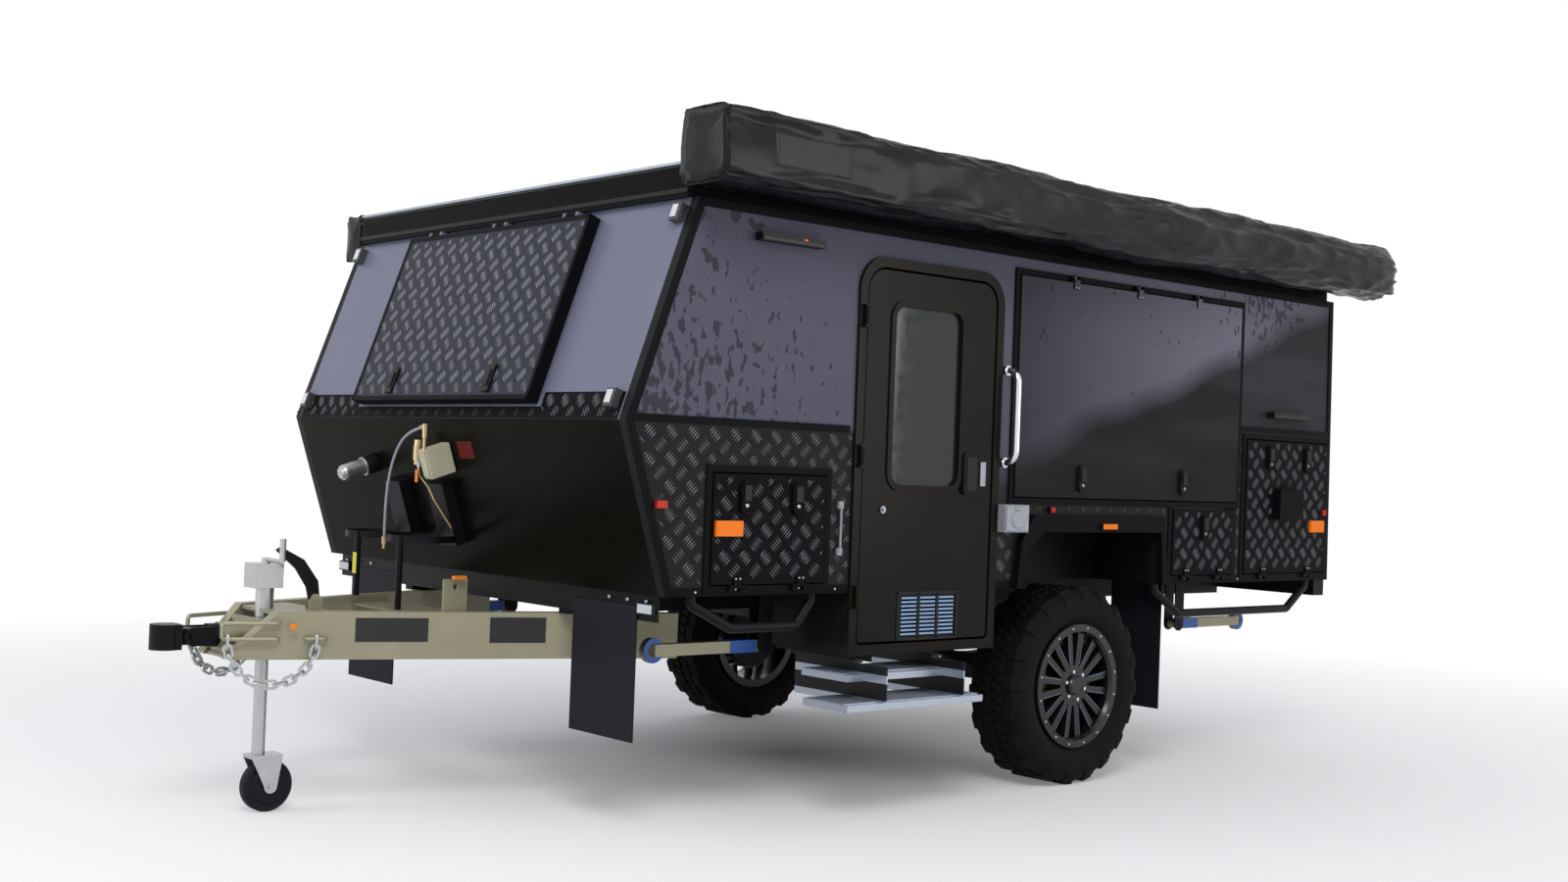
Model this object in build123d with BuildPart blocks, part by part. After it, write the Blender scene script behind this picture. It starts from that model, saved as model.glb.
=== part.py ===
"""Hybrid camper trailer with a drop-in entry door, a side galley and a lifting roof.

Millimetres. +X is forward, +Y is the door side, +Z is up. The origin is the mouth of the
coupling's pin bore, on the trailer's centre line. Sizes along the trailer are given ahead of
the axle, and heights are given above the ground.
"""
import math
import os

from build123d import *

os.makedirs("parts", exist_ok=True)

# Where the coupling stands from the axle and the ground
coupling_ahead = 3190
coupling_height = 545
axle_x = -coupling_ahead
ground_z = -coupling_height

# Body outline: a box with a wedge nose
body_bottom = 775
body_top = 2033
half_width = 1110
wall = 35
front_top = 1991
nose_ahead = 2243
nose_height = 1320
front_bottom = 2065
rear_top = -1684
rear_bottom = -1704
floor_thickness = 45
running_gap = 0.3
glass = 8

# Entry door in its moulded frame, which reaches below the floor
door_frame_rear = 550
door_frame_front = 1285
door_frame_low = 560
door_frame_high = 1930
door_frame_width = 35
door_frame_radius = 120
door_frame_proud = 12
door_gap = 8
door_thickness = 35
door_hinge_out = 22
door_pin_radius = 5
door_knuckle_half = 30
door_hinge_heights = (760, 1240, 1720)
door_glass_rear = 772
door_glass_front = 1110
door_glass_low = 1146
door_glass_high = 1767
door_glass_radius = 45
vent_middle = 901
vent_height = 688
well_depth = 385
well_wall = 18

# Hatches and lockers, each a leaf in an opening of the side wall
leaf_gap = 5
leaf_proud = 12
leaf_inset = 20
hatch_frame_width = 22
hatch_frame_proud = 8
hinge_radius = 6
hinge_length = 70

# Wheels
tyre_radius = 384
tyre_width = 264
tread_depth = 11
wheel_middle_y = half_width - 146.5
bead_radius = 218
rim_ring_radius = 240
rim_width = 208
rim_ring_thickness = 14
spokes = 8
drum_radius = 150
spindle_radius = 20
shoulder_lugs = 20

# Chassis and drawbar
rail_y = half_width - 590
rail_width = 50
rail_height = 103
beam_low = 517
beam_high = 672
beam_width = 50
beam_nose_ahead = 3030
beam_nose_y = 120
beam_body_ahead = 2010
beam_body_y = rail_y - 20
beam_end_ahead = 1640
beam_chamfer = 145

# Running gear
axle_size = 60
spring_y = rail_y
spring_width = 60
spring_half_length = 430
spring_eye_height = 600
leaf_thickness = 8
leaves = 5

# Coupling
shaft_height = 585
shaft_radius = 25
shaft_fit = 0.05
pitch_ahead = 3112
pin_bore_radius = 17.6
pin_bore_depth = 60
head_height = 80

# Parking brake lever
lever_y = 78
lever_half = 6
lever_pivot_ahead = 2725
lever_pivot_height = 700

# Jockey stand
jockey_ahead = 2862
jockey_tube_radius = 21
jockey_sleeve_radius = 29
jockey_fit = 0.06
jockey_sleeve_low = 500
jockey_wheel_radius = 85
jockey_wheel_width = 56
jockey_trail = 32

# Roof and awnings
roof_height = 112
roof_half_width = half_width - 20
roof_front = 2010
roof_rear = -1690
roof_wall = 40
awning_inner_y = half_width + 10
awning_width = 245
awning_low = 2042
awning_height = 255
awning_front = 2090
awning_rear = -1900

# Steadies and step
steady_y = half_width - 300
steady_height = 572
steady_length = 470
steady_foot_radius = 42
front_steady_pivot = 1411
rear_steady_pivot = -980
step_rear = 740
step_front = 1400
upper_tread_height = 500
lower_tread_height = 415
tread_thickness = 24


def side(y):
    """Upright plane along the trailer: x is ahead of the axle, y is above the ground."""
    return Plane(origin=(axle_x, y, ground_z), x_dir=(1, 0, 0), z_dir=(0, -1, 0))


def level(height):
    """Flat plane: x is ahead of the axle, y is towards the door side."""
    return Plane(origin=(axle_x, 0, ground_z + height), x_dir=(1, 0, 0), z_dir=(0, 0, 1))


def across(ahead):
    """Upright plane across the trailer: x is towards the door side, y is above the ground."""
    return Plane(origin=(axle_x + ahead, 0, ground_z), x_dir=(0, 1, 0), z_dir=(1, 0, 0))


def place(ahead, y, height):
    return (axle_x + ahead, y, ground_z + height)


def block(ahead, y, height, mode=Mode.ADD):
    """Box between two limits along each direction."""
    with Locations(place(sum(ahead) / 2, sum(y) / 2, sum(height) / 2)):
        Box(abs(ahead[1] - ahead[0]), abs(y[1] - y[0]), abs(height[1] - height[0]), mode=mode)


def pane(ahead, height, radius=0, mode=Mode.ADD):
    """Rectangle in a side sketch between two limits each way."""
    with Locations((sum(ahead) / 2, sum(height) / 2)):
        if radius:
            RectangleRounded(ahead[1] - ahead[0], height[1] - height[0], radius, mode=mode)
        else:
            Rectangle(ahead[1] - ahead[0], height[1] - height[0], mode=mode)


def rod(start, end, radius, mode=Mode.ADD):
    """Round bar between two points."""
    direction = Vector(*end) - Vector(*start)
    with Locations(Plane(origin=start, z_dir=direction).location):
        Cylinder(radius, direction.length, align=(Align.CENTER, Align.CENTER, Align.MIN), mode=mode)


def shape(points, mode=Mode.ADD):
    """Closed polygon in a sketch."""
    Polygon(*points, align=None, mode=mode)


def store(piece, name):
    piece.part.label = name
    export_step(piece.part, f"parts/{name}.step")


body_outline = (
    (rear_bottom, body_bottom),
    (rear_top, body_top),
    (front_top, body_top),
    (nose_ahead, nose_height),
    (front_bottom, body_bottom),
)

# Wheel arch opening in the side wall
arch_outline = ((410, body_bottom), (385, 925), (305, 985), (-425, 985), (-440, body_bottom))
arch_depth = 295

# Hatches: node, side, leaf from and to ahead of the axle, leaf heights, hinge edge, latches
hatches = (
    ("front_locker_left", 1, (1411, 1895), (812, 1166), "bottom", 2),
    ("front_locker_right", -1, (1411, 1895), (812, 1166), "bottom", 2),
    ("fridge_hatch", 1, (-945, -526), (812, 1082), "bottom", 1),
    ("rear_locker_left", 1, (-1660, -1035), (812, 1385), "bottom", 2),
    ("rear_locker_right", -1, (-1660, -1035), (812, 1385), "bottom", 2),
    ("galley_hatch", 1, (-960, 460), (1116, 1940), "top", 2),
)

# Trims, tread plates and the window of the far side
plate = 3
trim = 5
trim_width = 28
belt_front = 1330
belt_rear = 1430
belt_half = 12
belt_end = -985
plate_middle_high = 1088
flare = 30
flare_outline = ((450, body_bottom), (428, 950), (362, 1050), (-440, 1050), (-478, body_bottom))
right_window_ahead = (-300, 620)
right_window_height = (1330, 1790)
right_window_radius = 60

floor_top = body_bottom + floor_thickness
inner_half_width = half_width - wall
rail_inner = rail_y - rail_width / 2
wheel_box = 3


def hatch_limits(ahead, height, grow):
    return (ahead[0] - grow, ahead[1] + grow), (height[0] - grow, height[1] + grow)


# Side walls
for wall_name, s in (("left_wall", 1), ("right_wall", -1)):
    with BuildPart() as side_wall:
        with BuildSketch(side(s * half_width)):
            shape(body_outline)
            shape(arch_outline, mode=Mode.SUBTRACT)
            for hatch_name, hatch_side, ahead, height, edge, latches in hatches:
                if hatch_side == s:
                    pane(*hatch_limits(ahead, height, leaf_gap), mode=Mode.SUBTRACT)
            if s == 1:
                pane((door_frame_rear, door_frame_front), (door_frame_low, door_frame_high),
                     door_frame_radius, mode=Mode.SUBTRACT)
                pane((door_frame_rear, door_frame_front), (body_bottom, body_bottom + 300),
                     mode=Mode.SUBTRACT)
            else:
                pane(right_window_ahead, right_window_height, right_window_radius, mode=Mode.SUBTRACT)
        extrude(amount=s * wall)
        # Tread plate on the lower part, inside the trims
        with BuildSketch(side(s * half_width)):
            shape(body_outline)
            offset(amount=-trim_width, kind=Kind.INTERSECTION, mode=Mode.REPLACE)
            with BuildSketch(mode=Mode.INTERSECT):
                pane((door_frame_front, nose_ahead), (body_bottom, belt_front - belt_half))
                pane((rear_bottom, belt_end), (body_bottom, belt_rear - belt_half))
                pane((belt_end, door_frame_rear), (body_bottom, plate_middle_high))
            shape(flare_outline, mode=Mode.SUBTRACT)
            for hatch_name, hatch_side, ahead, height, edge, latches in hatches:
                if hatch_side == s:
                    pane(*hatch_limits(ahead, height, leaf_gap + hatch_frame_width), mode=Mode.SUBTRACT)
        extrude(amount=-s * plate)
    store(side_wall, wall_name)


def end_wall(ahead, height):
    """Wall between the two sides that follows the body's outline."""
    with BuildPart() as wall_part:
        with BuildSketch(side(inner_half_width)):
            shape(body_outline)
            offset(amount=-wall, kind=Kind.INTERSECTION, mode=Mode.SUBTRACT)
            pane(ahead, height, mode=Mode.INTERSECT)
        extrude(amount=2 * inner_half_width)
    return wall_part


# Slope of the upper front wall: x is towards the door side, y is up the slope
slope_run = nose_ahead - front_top
slope_drop = body_top - nose_height
slope_length = math.hypot(slope_run, slope_drop)
slope_normal = (slope_drop / slope_length, 0, slope_run / slope_length)


def slope(out):
    """Plane that lies off the upper front wall's face, its origin at the wall's top edge."""
    start = Vector(*place(front_top, 0, body_top)) + Vector(*slope_normal) * out
    return Plane(origin=start, x_dir=(0, 1, 0), z_dir=slope_normal)


front_window_half = 500
front_window_low = 156 - slope_length
front_window_high = -130

# Cover over the front window: its leaf down the slope, its hinge line and knuckles
cover_half = 600
cover_top = -36
cover_bottom = 50 - slope_length
cover_back = 3
cover_thickness = 42
cover_hinge_out = 25
cover_hinge_up = -20
cover_hinge_places = (-450, 0, 450)
cover_knuckle_half = 30

with BuildPart() as front_upper_wall:
    add(end_wall((front_top - 60, nose_ahead), (nose_height, body_top)).part)
    with BuildSketch(slope(5)):
        with Locations((0, (front_window_low + front_window_high) / 2)):
            RectangleRounded(2 * front_window_half, front_window_high - front_window_low, 40)
    extrude(amount=-wall - 10, mode=Mode.SUBTRACT)
    # Ears beside the cover's knuckles
    with BuildSketch(slope(0)):
        for y in cover_hinge_places:
            for turn in (-1, 1):
                with Locations((y + turn * (cover_knuckle_half + running_gap + 8), cover_hinge_up + 2)):
                    Rectangle(16, 14)
    extrude(amount=cover_hinge_out + 7)
store(front_upper_wall, "front_upper_wall")

front_lower_wall = end_wall((front_bottom - 50, nose_ahead), (body_bottom, nose_height))
store(front_lower_wall, "front_lower_wall")

rear_wall = end_wall((rear_bottom, rear_bottom + 45), (body_bottom, body_top))
store(rear_wall, "rear_wall")

with BuildPart() as windows:
    with BuildSketch(slope(-10)):
        with Locations((0, (front_window_low + front_window_high) / 2)):
            RectangleRounded(2 * front_window_half, front_window_high - front_window_low, 40)
    extrude(amount=-glass)
    with BuildSketch(side(-half_width + 14)):
        pane(right_window_ahead, right_window_height, right_window_radius)
    extrude(amount=-glass)
store(windows, "windows")

# Floor, cut for the wheel boxes and the entry well
crossmember_places = (-1640, -950, -120, 640, 1300, 1960)
floor_rear = rear_bottom + 45
floor_front = front_bottom - 50
valance_ahead = front_bottom - 25
with BuildPart() as floor_pan:
    block((floor_rear, floor_front), (-inner_half_width, inner_half_width), (body_bottom, floor_top))
    for s in (1, -1):
        block((arch_outline[-1][0] - 3, arch_outline[0][0] + 3),
              (s * (inner_half_width - arch_depth), s * inner_half_width),
              (body_bottom, floor_top), mode=Mode.SUBTRACT)
    block((door_frame_rear, door_frame_front), (inner_half_width - well_depth, inner_half_width),
          (body_bottom, floor_top), mode=Mode.SUBTRACT)
    # Wheel boxes over the arches
    for s in (1, -1):
        with BuildSketch(side(s * inner_half_width)):
            shape(arch_outline)
            offset(amount=wheel_box, kind=Kind.INTERSECTION)
            shape(arch_outline, mode=Mode.SUBTRACT)
            pane((-600, 600), (body_bottom, 1100), mode=Mode.INTERSECT)
        extrude(amount=s * arch_depth)
        with BuildSketch(side(s * (inner_half_width - arch_depth + wheel_box))):
            shape(arch_outline)
        extrude(amount=s * wheel_box)
    # Crossmembers between the rails, and the front valance
    for ahead in crossmember_places:
        block((ahead - 25, ahead + 25), (-rail_inner, rail_inner), (body_bottom - 70, body_bottom))
    block((valance_ahead, valance_ahead + 8), (-half_width + 60, half_width - 60), (690, body_bottom))
store(floor_pan, "floor_pan")

# Entry well under the door, with the step's runners on its underside
runner_low = 545
runner_places = (820, 1200)
runner_width = 40
with BuildPart() as entry_well:
    block((door_frame_rear, door_frame_front), (inner_half_width - well_depth, inner_half_width),
          (door_frame_low, floor_top))
    block((door_frame_rear + well_wall, door_frame_front - well_wall),
          (inner_half_width - well_depth + well_wall, inner_half_width),
          (door_frame_low + well_wall, floor_top), mode=Mode.SUBTRACT)
    for ahead in runner_places:
        block((ahead, ahead + runner_width), (inner_half_width - well_depth + 10, inner_half_width - 5),
              (runner_low, door_frame_low))
store(entry_well, "entry_well")

# Furniture: bed base over the front lockers, galley bench, board over the rear lockers
bed_top = 1200
bed_rear = 1372
board = 15
galley_inner_y = 560
galley_ahead = (-985, 485)
bench_height = (1080, 1105)
galley_high = 1990
rear_board_height = 1420
with BuildPart() as furniture:
    block((bed_rear, front_bottom + 85), (-inner_half_width, inner_half_width), (bed_top - board, bed_top))
    block((bed_rear, bed_rear + board), (-inner_half_width, inner_half_width), (floor_top, bed_top - board))
    block(galley_ahead, (galley_inner_y, inner_half_width), bench_height)
    block(galley_ahead, (galley_inner_y, galley_inner_y + board), (bench_height[1], galley_high))
    block((galley_ahead[0], galley_ahead[0] + board), (galley_inner_y, inner_half_width),
          (bench_height[1], galley_high))
    block((galley_ahead[1] - board, galley_ahead[1]), (galley_inner_y, inner_half_width),
          (bench_height[1], galley_high))
    block((floor_rear, galley_ahead[0]), (-inner_half_width, inner_half_width),
          (rear_board_height, rear_board_height + board))
    block((galley_ahead[0] - board, galley_ahead[0]), (-inner_half_width, inner_half_width),
          (floor_top, rear_board_height))
store(furniture, "furniture")

# Door frame: a ring round the door, its foot below the floor
frame_out = half_width + door_frame_proud
door_hinge_y = half_width + door_hinge_out
door_hinge_ahead = door_frame_front - door_frame_width + 10
with BuildPart() as door_frame:
    with BuildSketch(side(frame_out)):
        pane((door_frame_rear, door_frame_front), (door_frame_low, door_frame_high), door_frame_radius)
        pane((door_frame_rear, door_frame_front), (door_frame_low, body_bottom + 300))
        pane((door_frame_rear + door_frame_width, door_frame_front - door_frame_width),
             (door_frame_low + door_frame_width, door_frame_high - door_frame_width),
             door_frame_radius - door_frame_width, mode=Mode.SUBTRACT)
        pane((door_frame_rear + door_frame_width, door_frame_front - door_frame_width),
             (door_frame_low + door_frame_width, body_bottom + 300), 20, mode=Mode.SUBTRACT)
    extrude(amount=frame_out - inner_half_width)
    # Pins of the door's hinges, each in two ears
    for height in door_hinge_heights:
        for low in (height - door_knuckle_half - running_gap - 8, height + door_knuckle_half + running_gap):
            block((door_hinge_ahead - 7, door_hinge_ahead + 12), (frame_out - 2, door_hinge_y + 7),
                  (low, low + 8))
        rod(place(door_hinge_ahead, door_hinge_y, height - door_knuckle_half - 10),
            place(door_hinge_ahead, door_hinge_y, height + door_knuckle_half + 10), door_pin_radius)
store(door_frame, "door_frame")

# Entry door, hinged on its front edge
leaf_rear = door_frame_rear + door_frame_width + door_gap
leaf_front = door_frame_front - door_frame_width - door_gap
leaf_low = door_frame_low + door_frame_width + door_gap
leaf_high = door_frame_high - door_frame_width - door_gap
leaf_radius = door_frame_radius - door_frame_width - door_gap
door_face = half_width + 8
with BuildPart() as entry_door:
    with BuildSketch(side(door_face)):
        pane((leaf_rear, leaf_front), (leaf_low, leaf_high), leaf_radius)
        pane((leaf_rear, leaf_front), (leaf_low, leaf_low + 300), 14)
        pane((door_glass_rear, door_glass_front), (door_glass_low, door_glass_high),
             door_glass_radius, mode=Mode.SUBTRACT)
    extrude(amount=door_thickness)
    # Raised rim round the glass
    with BuildSketch(side(door_face + 6)):
        pane((door_glass_rear - 22, door_glass_front + 22), (door_glass_low - 22, door_glass_high + 22),
             door_glass_radius + 22)
        pane((door_glass_rear, door_glass_front), (door_glass_low, door_glass_high),
             door_glass_radius, mode=Mode.SUBTRACT)
    extrude(amount=6)
    # Vent louvres in three columns
    with BuildSketch(side(door_face)):
        with Locations((vent_middle, vent_height)):
            with GridLocations(94, 14, 3, 9):
                Rectangle(74, 7)
    extrude(amount=door_thickness, mode=Mode.SUBTRACT)
    # Latch plate
    with BuildSketch(side(door_face + 14)):
        pane((622, 750), (1119, 1269), 16)
    extrude(amount=14)
    # Hinge knuckles
    for height in door_hinge_heights:
        low = height - door_knuckle_half
        high = height + door_knuckle_half
        rod(place(door_hinge_ahead, door_hinge_y, low), place(door_hinge_ahead, door_hinge_y, high), 9)
        block((leaf_front - 14, leaf_front), (door_face, door_hinge_y + 2), (low, high))
        block((leaf_front - 14, door_hinge_ahead), (door_hinge_y - 4, door_hinge_y + 2), (low, high))
        rod(place(door_hinge_ahead, door_hinge_y, low - 1), place(door_hinge_ahead, door_hinge_y, high + 1),
            door_pin_radius + shaft_fit, mode=Mode.SUBTRACT)
store(entry_door, "entry_door")

with BuildPart() as door_glass:
    with BuildSketch(side(door_face - 8)):
        pane((door_glass_rear, door_glass_front), (door_glass_low, door_glass_high), door_glass_radius)
    extrude(amount=8)
store(door_glass, "door_glass")

# Hatch hinges lie just outside each leaf's hinge edge
hinge_drop = hinge_radius + 1.5
hinge_out = leaf_proud + 4
knuckle_half = 14


def hinge_line(height, edge):
    return height[0] - hinge_drop if edge == "bottom" else height[1] + hinge_drop


def hinge_middles(ahead, edge):
    """Places of a leaf's hinges: two, and a third in the middle of a top edge."""
    inset = 0.22 * (ahead[1] - ahead[0])
    middles = [ahead[0] + inset, ahead[1] - inset]
    if edge == "top":
        middles.append(sum(ahead) / 2)
    return middles


# Trims: corner sections, belts, hatch frames with their hinges, and the arch flare
for trim_name, s in (("left_trims", 1), ("right_trims", -1)):
    with BuildPart() as trims:
        with BuildSketch(side(s * (half_width + trim))):
            shape(body_outline)
            offset(amount=-trim_width, kind=Kind.INTERSECTION, mode=Mode.SUBTRACT)
            pane((door_frame_front + 20, nose_ahead - 4), (belt_front - belt_half, belt_front + belt_half))
            pane((rear_top - 8, belt_end), (belt_rear - belt_half, belt_rear + belt_half))
            shape(arch_outline, mode=Mode.SUBTRACT)
            if s == 1:
                pane((door_frame_rear, door_frame_front), (body_bottom - 5, door_frame_high),
                     mode=Mode.SUBTRACT)
        extrude(amount=s * trim)
        with BuildSketch(side(s * (half_width + flare))):
            shape(flare_outline)
            shape(arch_outline, mode=Mode.SUBTRACT)
        extrude(amount=s * flare)
        with BuildSketch(side(s * (half_width + hatch_frame_proud))):
            for hatch_name, hatch_side, ahead, height, edge, latches in hatches:
                if hatch_side == s:
                    pane(*hatch_limits(ahead, height, leaf_gap + hatch_frame_width))
            for hatch_name, hatch_side, ahead, height, edge, latches in hatches:
                if hatch_side == s:
                    pane(*hatch_limits(ahead, height, leaf_gap), mode=Mode.SUBTRACT)
        extrude(amount=s * hatch_frame_proud)
        for hatch_name, hatch_side, ahead, height, edge, latches in hatches:
            if hatch_side == s:
                line = hinge_line(height, edge)
                low, high = (line - 16, line) if edge == "bottom" else (line, line + 16)
                hinge_y = s * (half_width + hinge_out)
                for middle in hinge_middles(ahead, edge):
                    for turn in (-1, 1):
                        near = middle + turn * (knuckle_half + running_gap)
                        far = middle + turn * hinge_length / 2
                        rod(place(near, hinge_y, line), place(far, hinge_y, line), hinge_radius)
                        block((near, far), (s * (half_width + hatch_frame_proud - 1), hinge_y + s * 3),
                              (low, high))
    store(trims, trim_name)

# Hatch leaves with their knuckles and paddle latches
for hatch_name, s, ahead, height, edge, latches in hatches:
    with BuildPart() as leaf:
        face = s * (half_width + leaf_proud)
        with BuildSketch(side(face)):
            pane(ahead, height)
        extrude(amount=s * (leaf_proud + leaf_inset))
        line = hinge_line(height, edge)
        for middle in hinge_middles(ahead, edge):
            hinge_y = s * (half_width + hinge_out)
            rod(place(middle - knuckle_half, hinge_y, line), place(middle + knuckle_half, hinge_y, line),
                hinge_radius)
            strap = (line, line + 32) if edge == "bottom" else (line - 32, line)
            block((middle - knuckle_half, middle + knuckle_half), (face, face + s * 7), strap)
        latch_height = height[1] - 75 if edge == "bottom" else height[0] + 75
        shares = (0.5,) if latches == 1 else (0.27, 0.73)
        for share in shares:
            middle = ahead[0] + share * (ahead[1] - ahead[0])
            with BuildSketch(side(face + s * 12)):
                pane((middle - 24, middle + 24), (latch_height - 52, latch_height + 52), 20)
            extrude(amount=s * 12)
        if hatch_name == "rear_locker_left":
            block((-1420, -1240), (face, s * (half_width + 50)), (1046, 1177))
    store(leaf, hatch_name)

# Roof lid, which lifts off the body
roof_low = body_top + running_gap
roof_top = roof_low + roof_height
rail_heights = (2062, 2112)
with BuildPart() as roof_shell:
    with BuildSketch(level(roof_low)):
        pane((roof_rear, roof_front), (-roof_half_width, roof_half_width), 30)
    extrude(amount=roof_height)
    with BuildSketch(level(roof_low)):
        pane((roof_rear + roof_wall, roof_front - roof_wall),
             (-roof_half_width + roof_wall, roof_half_width - roof_wall))
    extrude(amount=roof_height - roof_wall, mode=Mode.SUBTRACT)
    edges_on_top = roof_shell.faces().sort_by(Axis.Z)[-1].edges()
    chamfer(edges_on_top, 14)
    # Rails that carry the awning bags
    for s, ahead in ((1, (awning_rear + 300, awning_front - 120)), (-1, (200, 1950))):
        block(ahead, (s * roof_half_width, s * (awning_inner_y - running_gap)), rail_heights)
store(roof_shell, "roof_shell")

with BuildPart() as solar_panels:
    for inner, outer in ((-490, 120), (230, 700)):
        block((400, 1770), (inner, outer), (roof_top, roof_top + 70))
store(solar_panels, "solar_panels")

# Soft bags: the long awning on the door side, a short one on the far side
with BuildPart() as awning_bags:
    with BuildSketch(across(awning_rear)):
        with Locations((awning_inner_y + awning_width / 2, awning_low + awning_height / 2)):
            RectangleRounded(awning_width, awning_height, 60)
    extrude(amount=awning_front - awning_rear)
    with BuildSketch(across(100)):
        with Locations((-awning_inner_y - 70, 2068)):
            RectangleRounded(140, 200, 45)
    extrude(amount=1890)
store(awning_bags, "awning_bags")

# Cover over the front window, hinged at its top
with BuildPart() as window_cover:
    with BuildSketch(slope(cover_back)):
        with Locations((0, (cover_top + cover_bottom) / 2)):
            Rectangle(2 * cover_half, cover_top - cover_bottom)
    extrude(amount=cover_thickness)
    with BuildSketch(slope(cover_back)):
        with Locations((0, (cover_top + cover_bottom) / 2)):
            Rectangle(2 * cover_half - 60, cover_top - cover_bottom - 60)
    extrude(amount=cover_thickness - 6, mode=Mode.SUBTRACT)
    for y in cover_hinge_places:
        with Locations(slope(cover_hinge_out).location * Location((y, cover_hinge_up, 0), (0, 90, 0))):
            Cylinder(7, 2 * cover_knuckle_half)
        with BuildSketch(slope(cover_hinge_out - 3)):
            with Locations((y, (cover_hinge_up + cover_top - 2) / 2)):
                Rectangle(2 * cover_knuckle_half, cover_hinge_up - cover_top + 2)
        extrude(amount=6)
store(window_cover, "window_cover")

# Drawbar beams
beam_slope = (beam_body_y - beam_nose_y) / (beam_nose_ahead - beam_body_ahead)
beam_angle = math.atan(beam_slope)


def beam_outer_y(ahead):
    return beam_nose_y + (beam_nose_ahead - ahead) * beam_slope


def beam_face(ahead, s, out, height):
    """Point off a beam's outer face."""
    return place(ahead + out * math.sin(beam_angle), s * (beam_outer_y(ahead) + out * math.cos(beam_angle)), height)


# Safety chains: links of one size hang in a half circle between two eyes on each beam
link_wire = 8
link_inner = ((16, 5), (10, 8))
link_outer = ((24, 9), (15, 16))
link_pitch = 30.4
link_steps = 14
eye_out = 24
front_eye_radius = 7
rear_eye_radius = 6
front_eye_height = 585
chain_front_ahead = 3036
link_turn = 180 / link_steps
chain_radius = link_pitch / 2 / math.sin(math.radians(link_turn / 2))
chain_top = front_eye_height + front_eye_radius + running_gap - link_inner[0][0]
rear_eye_height = chain_top + link_inner[0][0] - running_gap - rear_eye_radius
chain_rear_ahead = chain_front_ahead - 2 * chain_radius * math.cos(beam_angle)
front_eye_route = ((2890, -5, 635), (2890, eye_out, 635), (3052, eye_out, 635),
                   (3052, eye_out, front_eye_height), (2890, eye_out, front_eye_height), (2890, -5, front_eye_height))
rear_eye_route = ((chain_rear_ahead + 30, -5, rear_eye_height), (chain_rear_ahead + 30, eye_out, rear_eye_height),
                  (chain_rear_ahead - 30, eye_out, rear_eye_height), (chain_rear_ahead - 30, -5, rear_eye_height))
eye_bend = 12
tab_ahead = 2355
tab_hole = 10

beam_thickness_y = beam_width / math.cos(beam_angle)
for beam_name, s in (("drawbar_left", 1), ("drawbar_right", -1)):
    with BuildPart() as beam:
        with BuildSketch(level(beam_low)):
            shape(((beam_nose_ahead, s * beam_nose_y),
                   (beam_end_ahead, s * beam_outer_y(beam_end_ahead)),
                   (beam_end_ahead, s * (beam_outer_y(beam_end_ahead) - beam_thickness_y)),
                   (beam_nose_ahead, s * (beam_nose_y - beam_thickness_y))))
        extrude(amount=beam_high - beam_low)
        with BuildSketch(side(800)):
            shape(((beam_nose_ahead + 1, beam_low + 8), (beam_nose_ahead + 1, beam_high + 1),
                   (beam_nose_ahead - beam_chamfer, beam_high + 1), (beam_nose_ahead - beam_chamfer, beam_high)))
        extrude(amount=1600, mode=Mode.SUBTRACT)
        for route, radius in ((front_eye_route, front_eye_radius), (rear_eye_route, rear_eye_radius)):
            points = [beam_face(ahead, s, out, height) for ahead, out, height in route]
            with BuildLine() as path:
                FilletPolyline(*points, radius=eye_bend)
            with BuildSketch(Plane(origin=points[0], z_dir=Vector(*points[1]) - Vector(*points[0]))):
                Circle(radius)
            sweep(path=path.wires()[0])
        if s == 1:
            tab_y = beam_outer_y(tab_ahead) - beam_thickness_y / 2
            with BuildSketch(side(tab_y + 4)):
                pane((tab_ahead - 45, tab_ahead + 45), (beam_high - 2, beam_high + 108))
                with Locations((tab_ahead, beam_high + 82)):
                    Circle(tab_hole, mode=Mode.SUBTRACT)
            extrude(amount=8)
    store(beam, beam_name)

with BuildPart() as link_form:
    with BuildSketch(Plane.XZ):
        for corner, mode in ((link_outer, Mode.ADD), (link_inner, Mode.SUBTRACT)):
            shape([(x, z) for x, z in corner] + [(-x, z) for x, z in corner[::-1]]
                  + [(-x, -z) for x, z in corner] + [(x, -z) for x, z in corner[::-1]], mode=mode)
    extrude(amount=link_wire / 2, both=True)

with BuildPart() as safety_chains:
    for s in (1, -1):
        along = Vector(math.cos(beam_angle), -s * math.sin(beam_angle), 0)
        out = Vector(math.sin(beam_angle), s * math.cos(beam_angle), 0)
        front = Vector(*beam_face(chain_front_ahead, s, eye_out, chain_top))
        for number in range(link_steps + 1):
            angle = math.radians(number * link_turn)
            outward = along * math.cos(angle) - Vector(0, 0, math.sin(angle))
            onward = along * -math.sin(angle) - Vector(0, 0, math.cos(angle))
            middle = front - along * chain_radius + outward * chain_radius
            flat_normal = outward if number % 2 == 0 else out
            with Locations(Plane(origin=middle, x_dir=onward, z_dir=onward.cross(flat_normal)).location):
                add(link_form.part)
store(safety_chains, "safety_chains")

# Nose housing: top and bottom plates between the beams, and the shaft's bearing tube
nose_rear = 2700
nose_front = 3020


def beam_inner_y(ahead):
    return beam_outer_y(ahead) - beam_thickness_y


def between_beams(rear, front):
    """Corners of a plate that fills the space between the two beams."""
    return ((rear, beam_inner_y(rear)), (front, beam_inner_y(front)),
            (front, -beam_inner_y(front)), (rear, -beam_inner_y(rear)))


bottle_plate_high = 646
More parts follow.
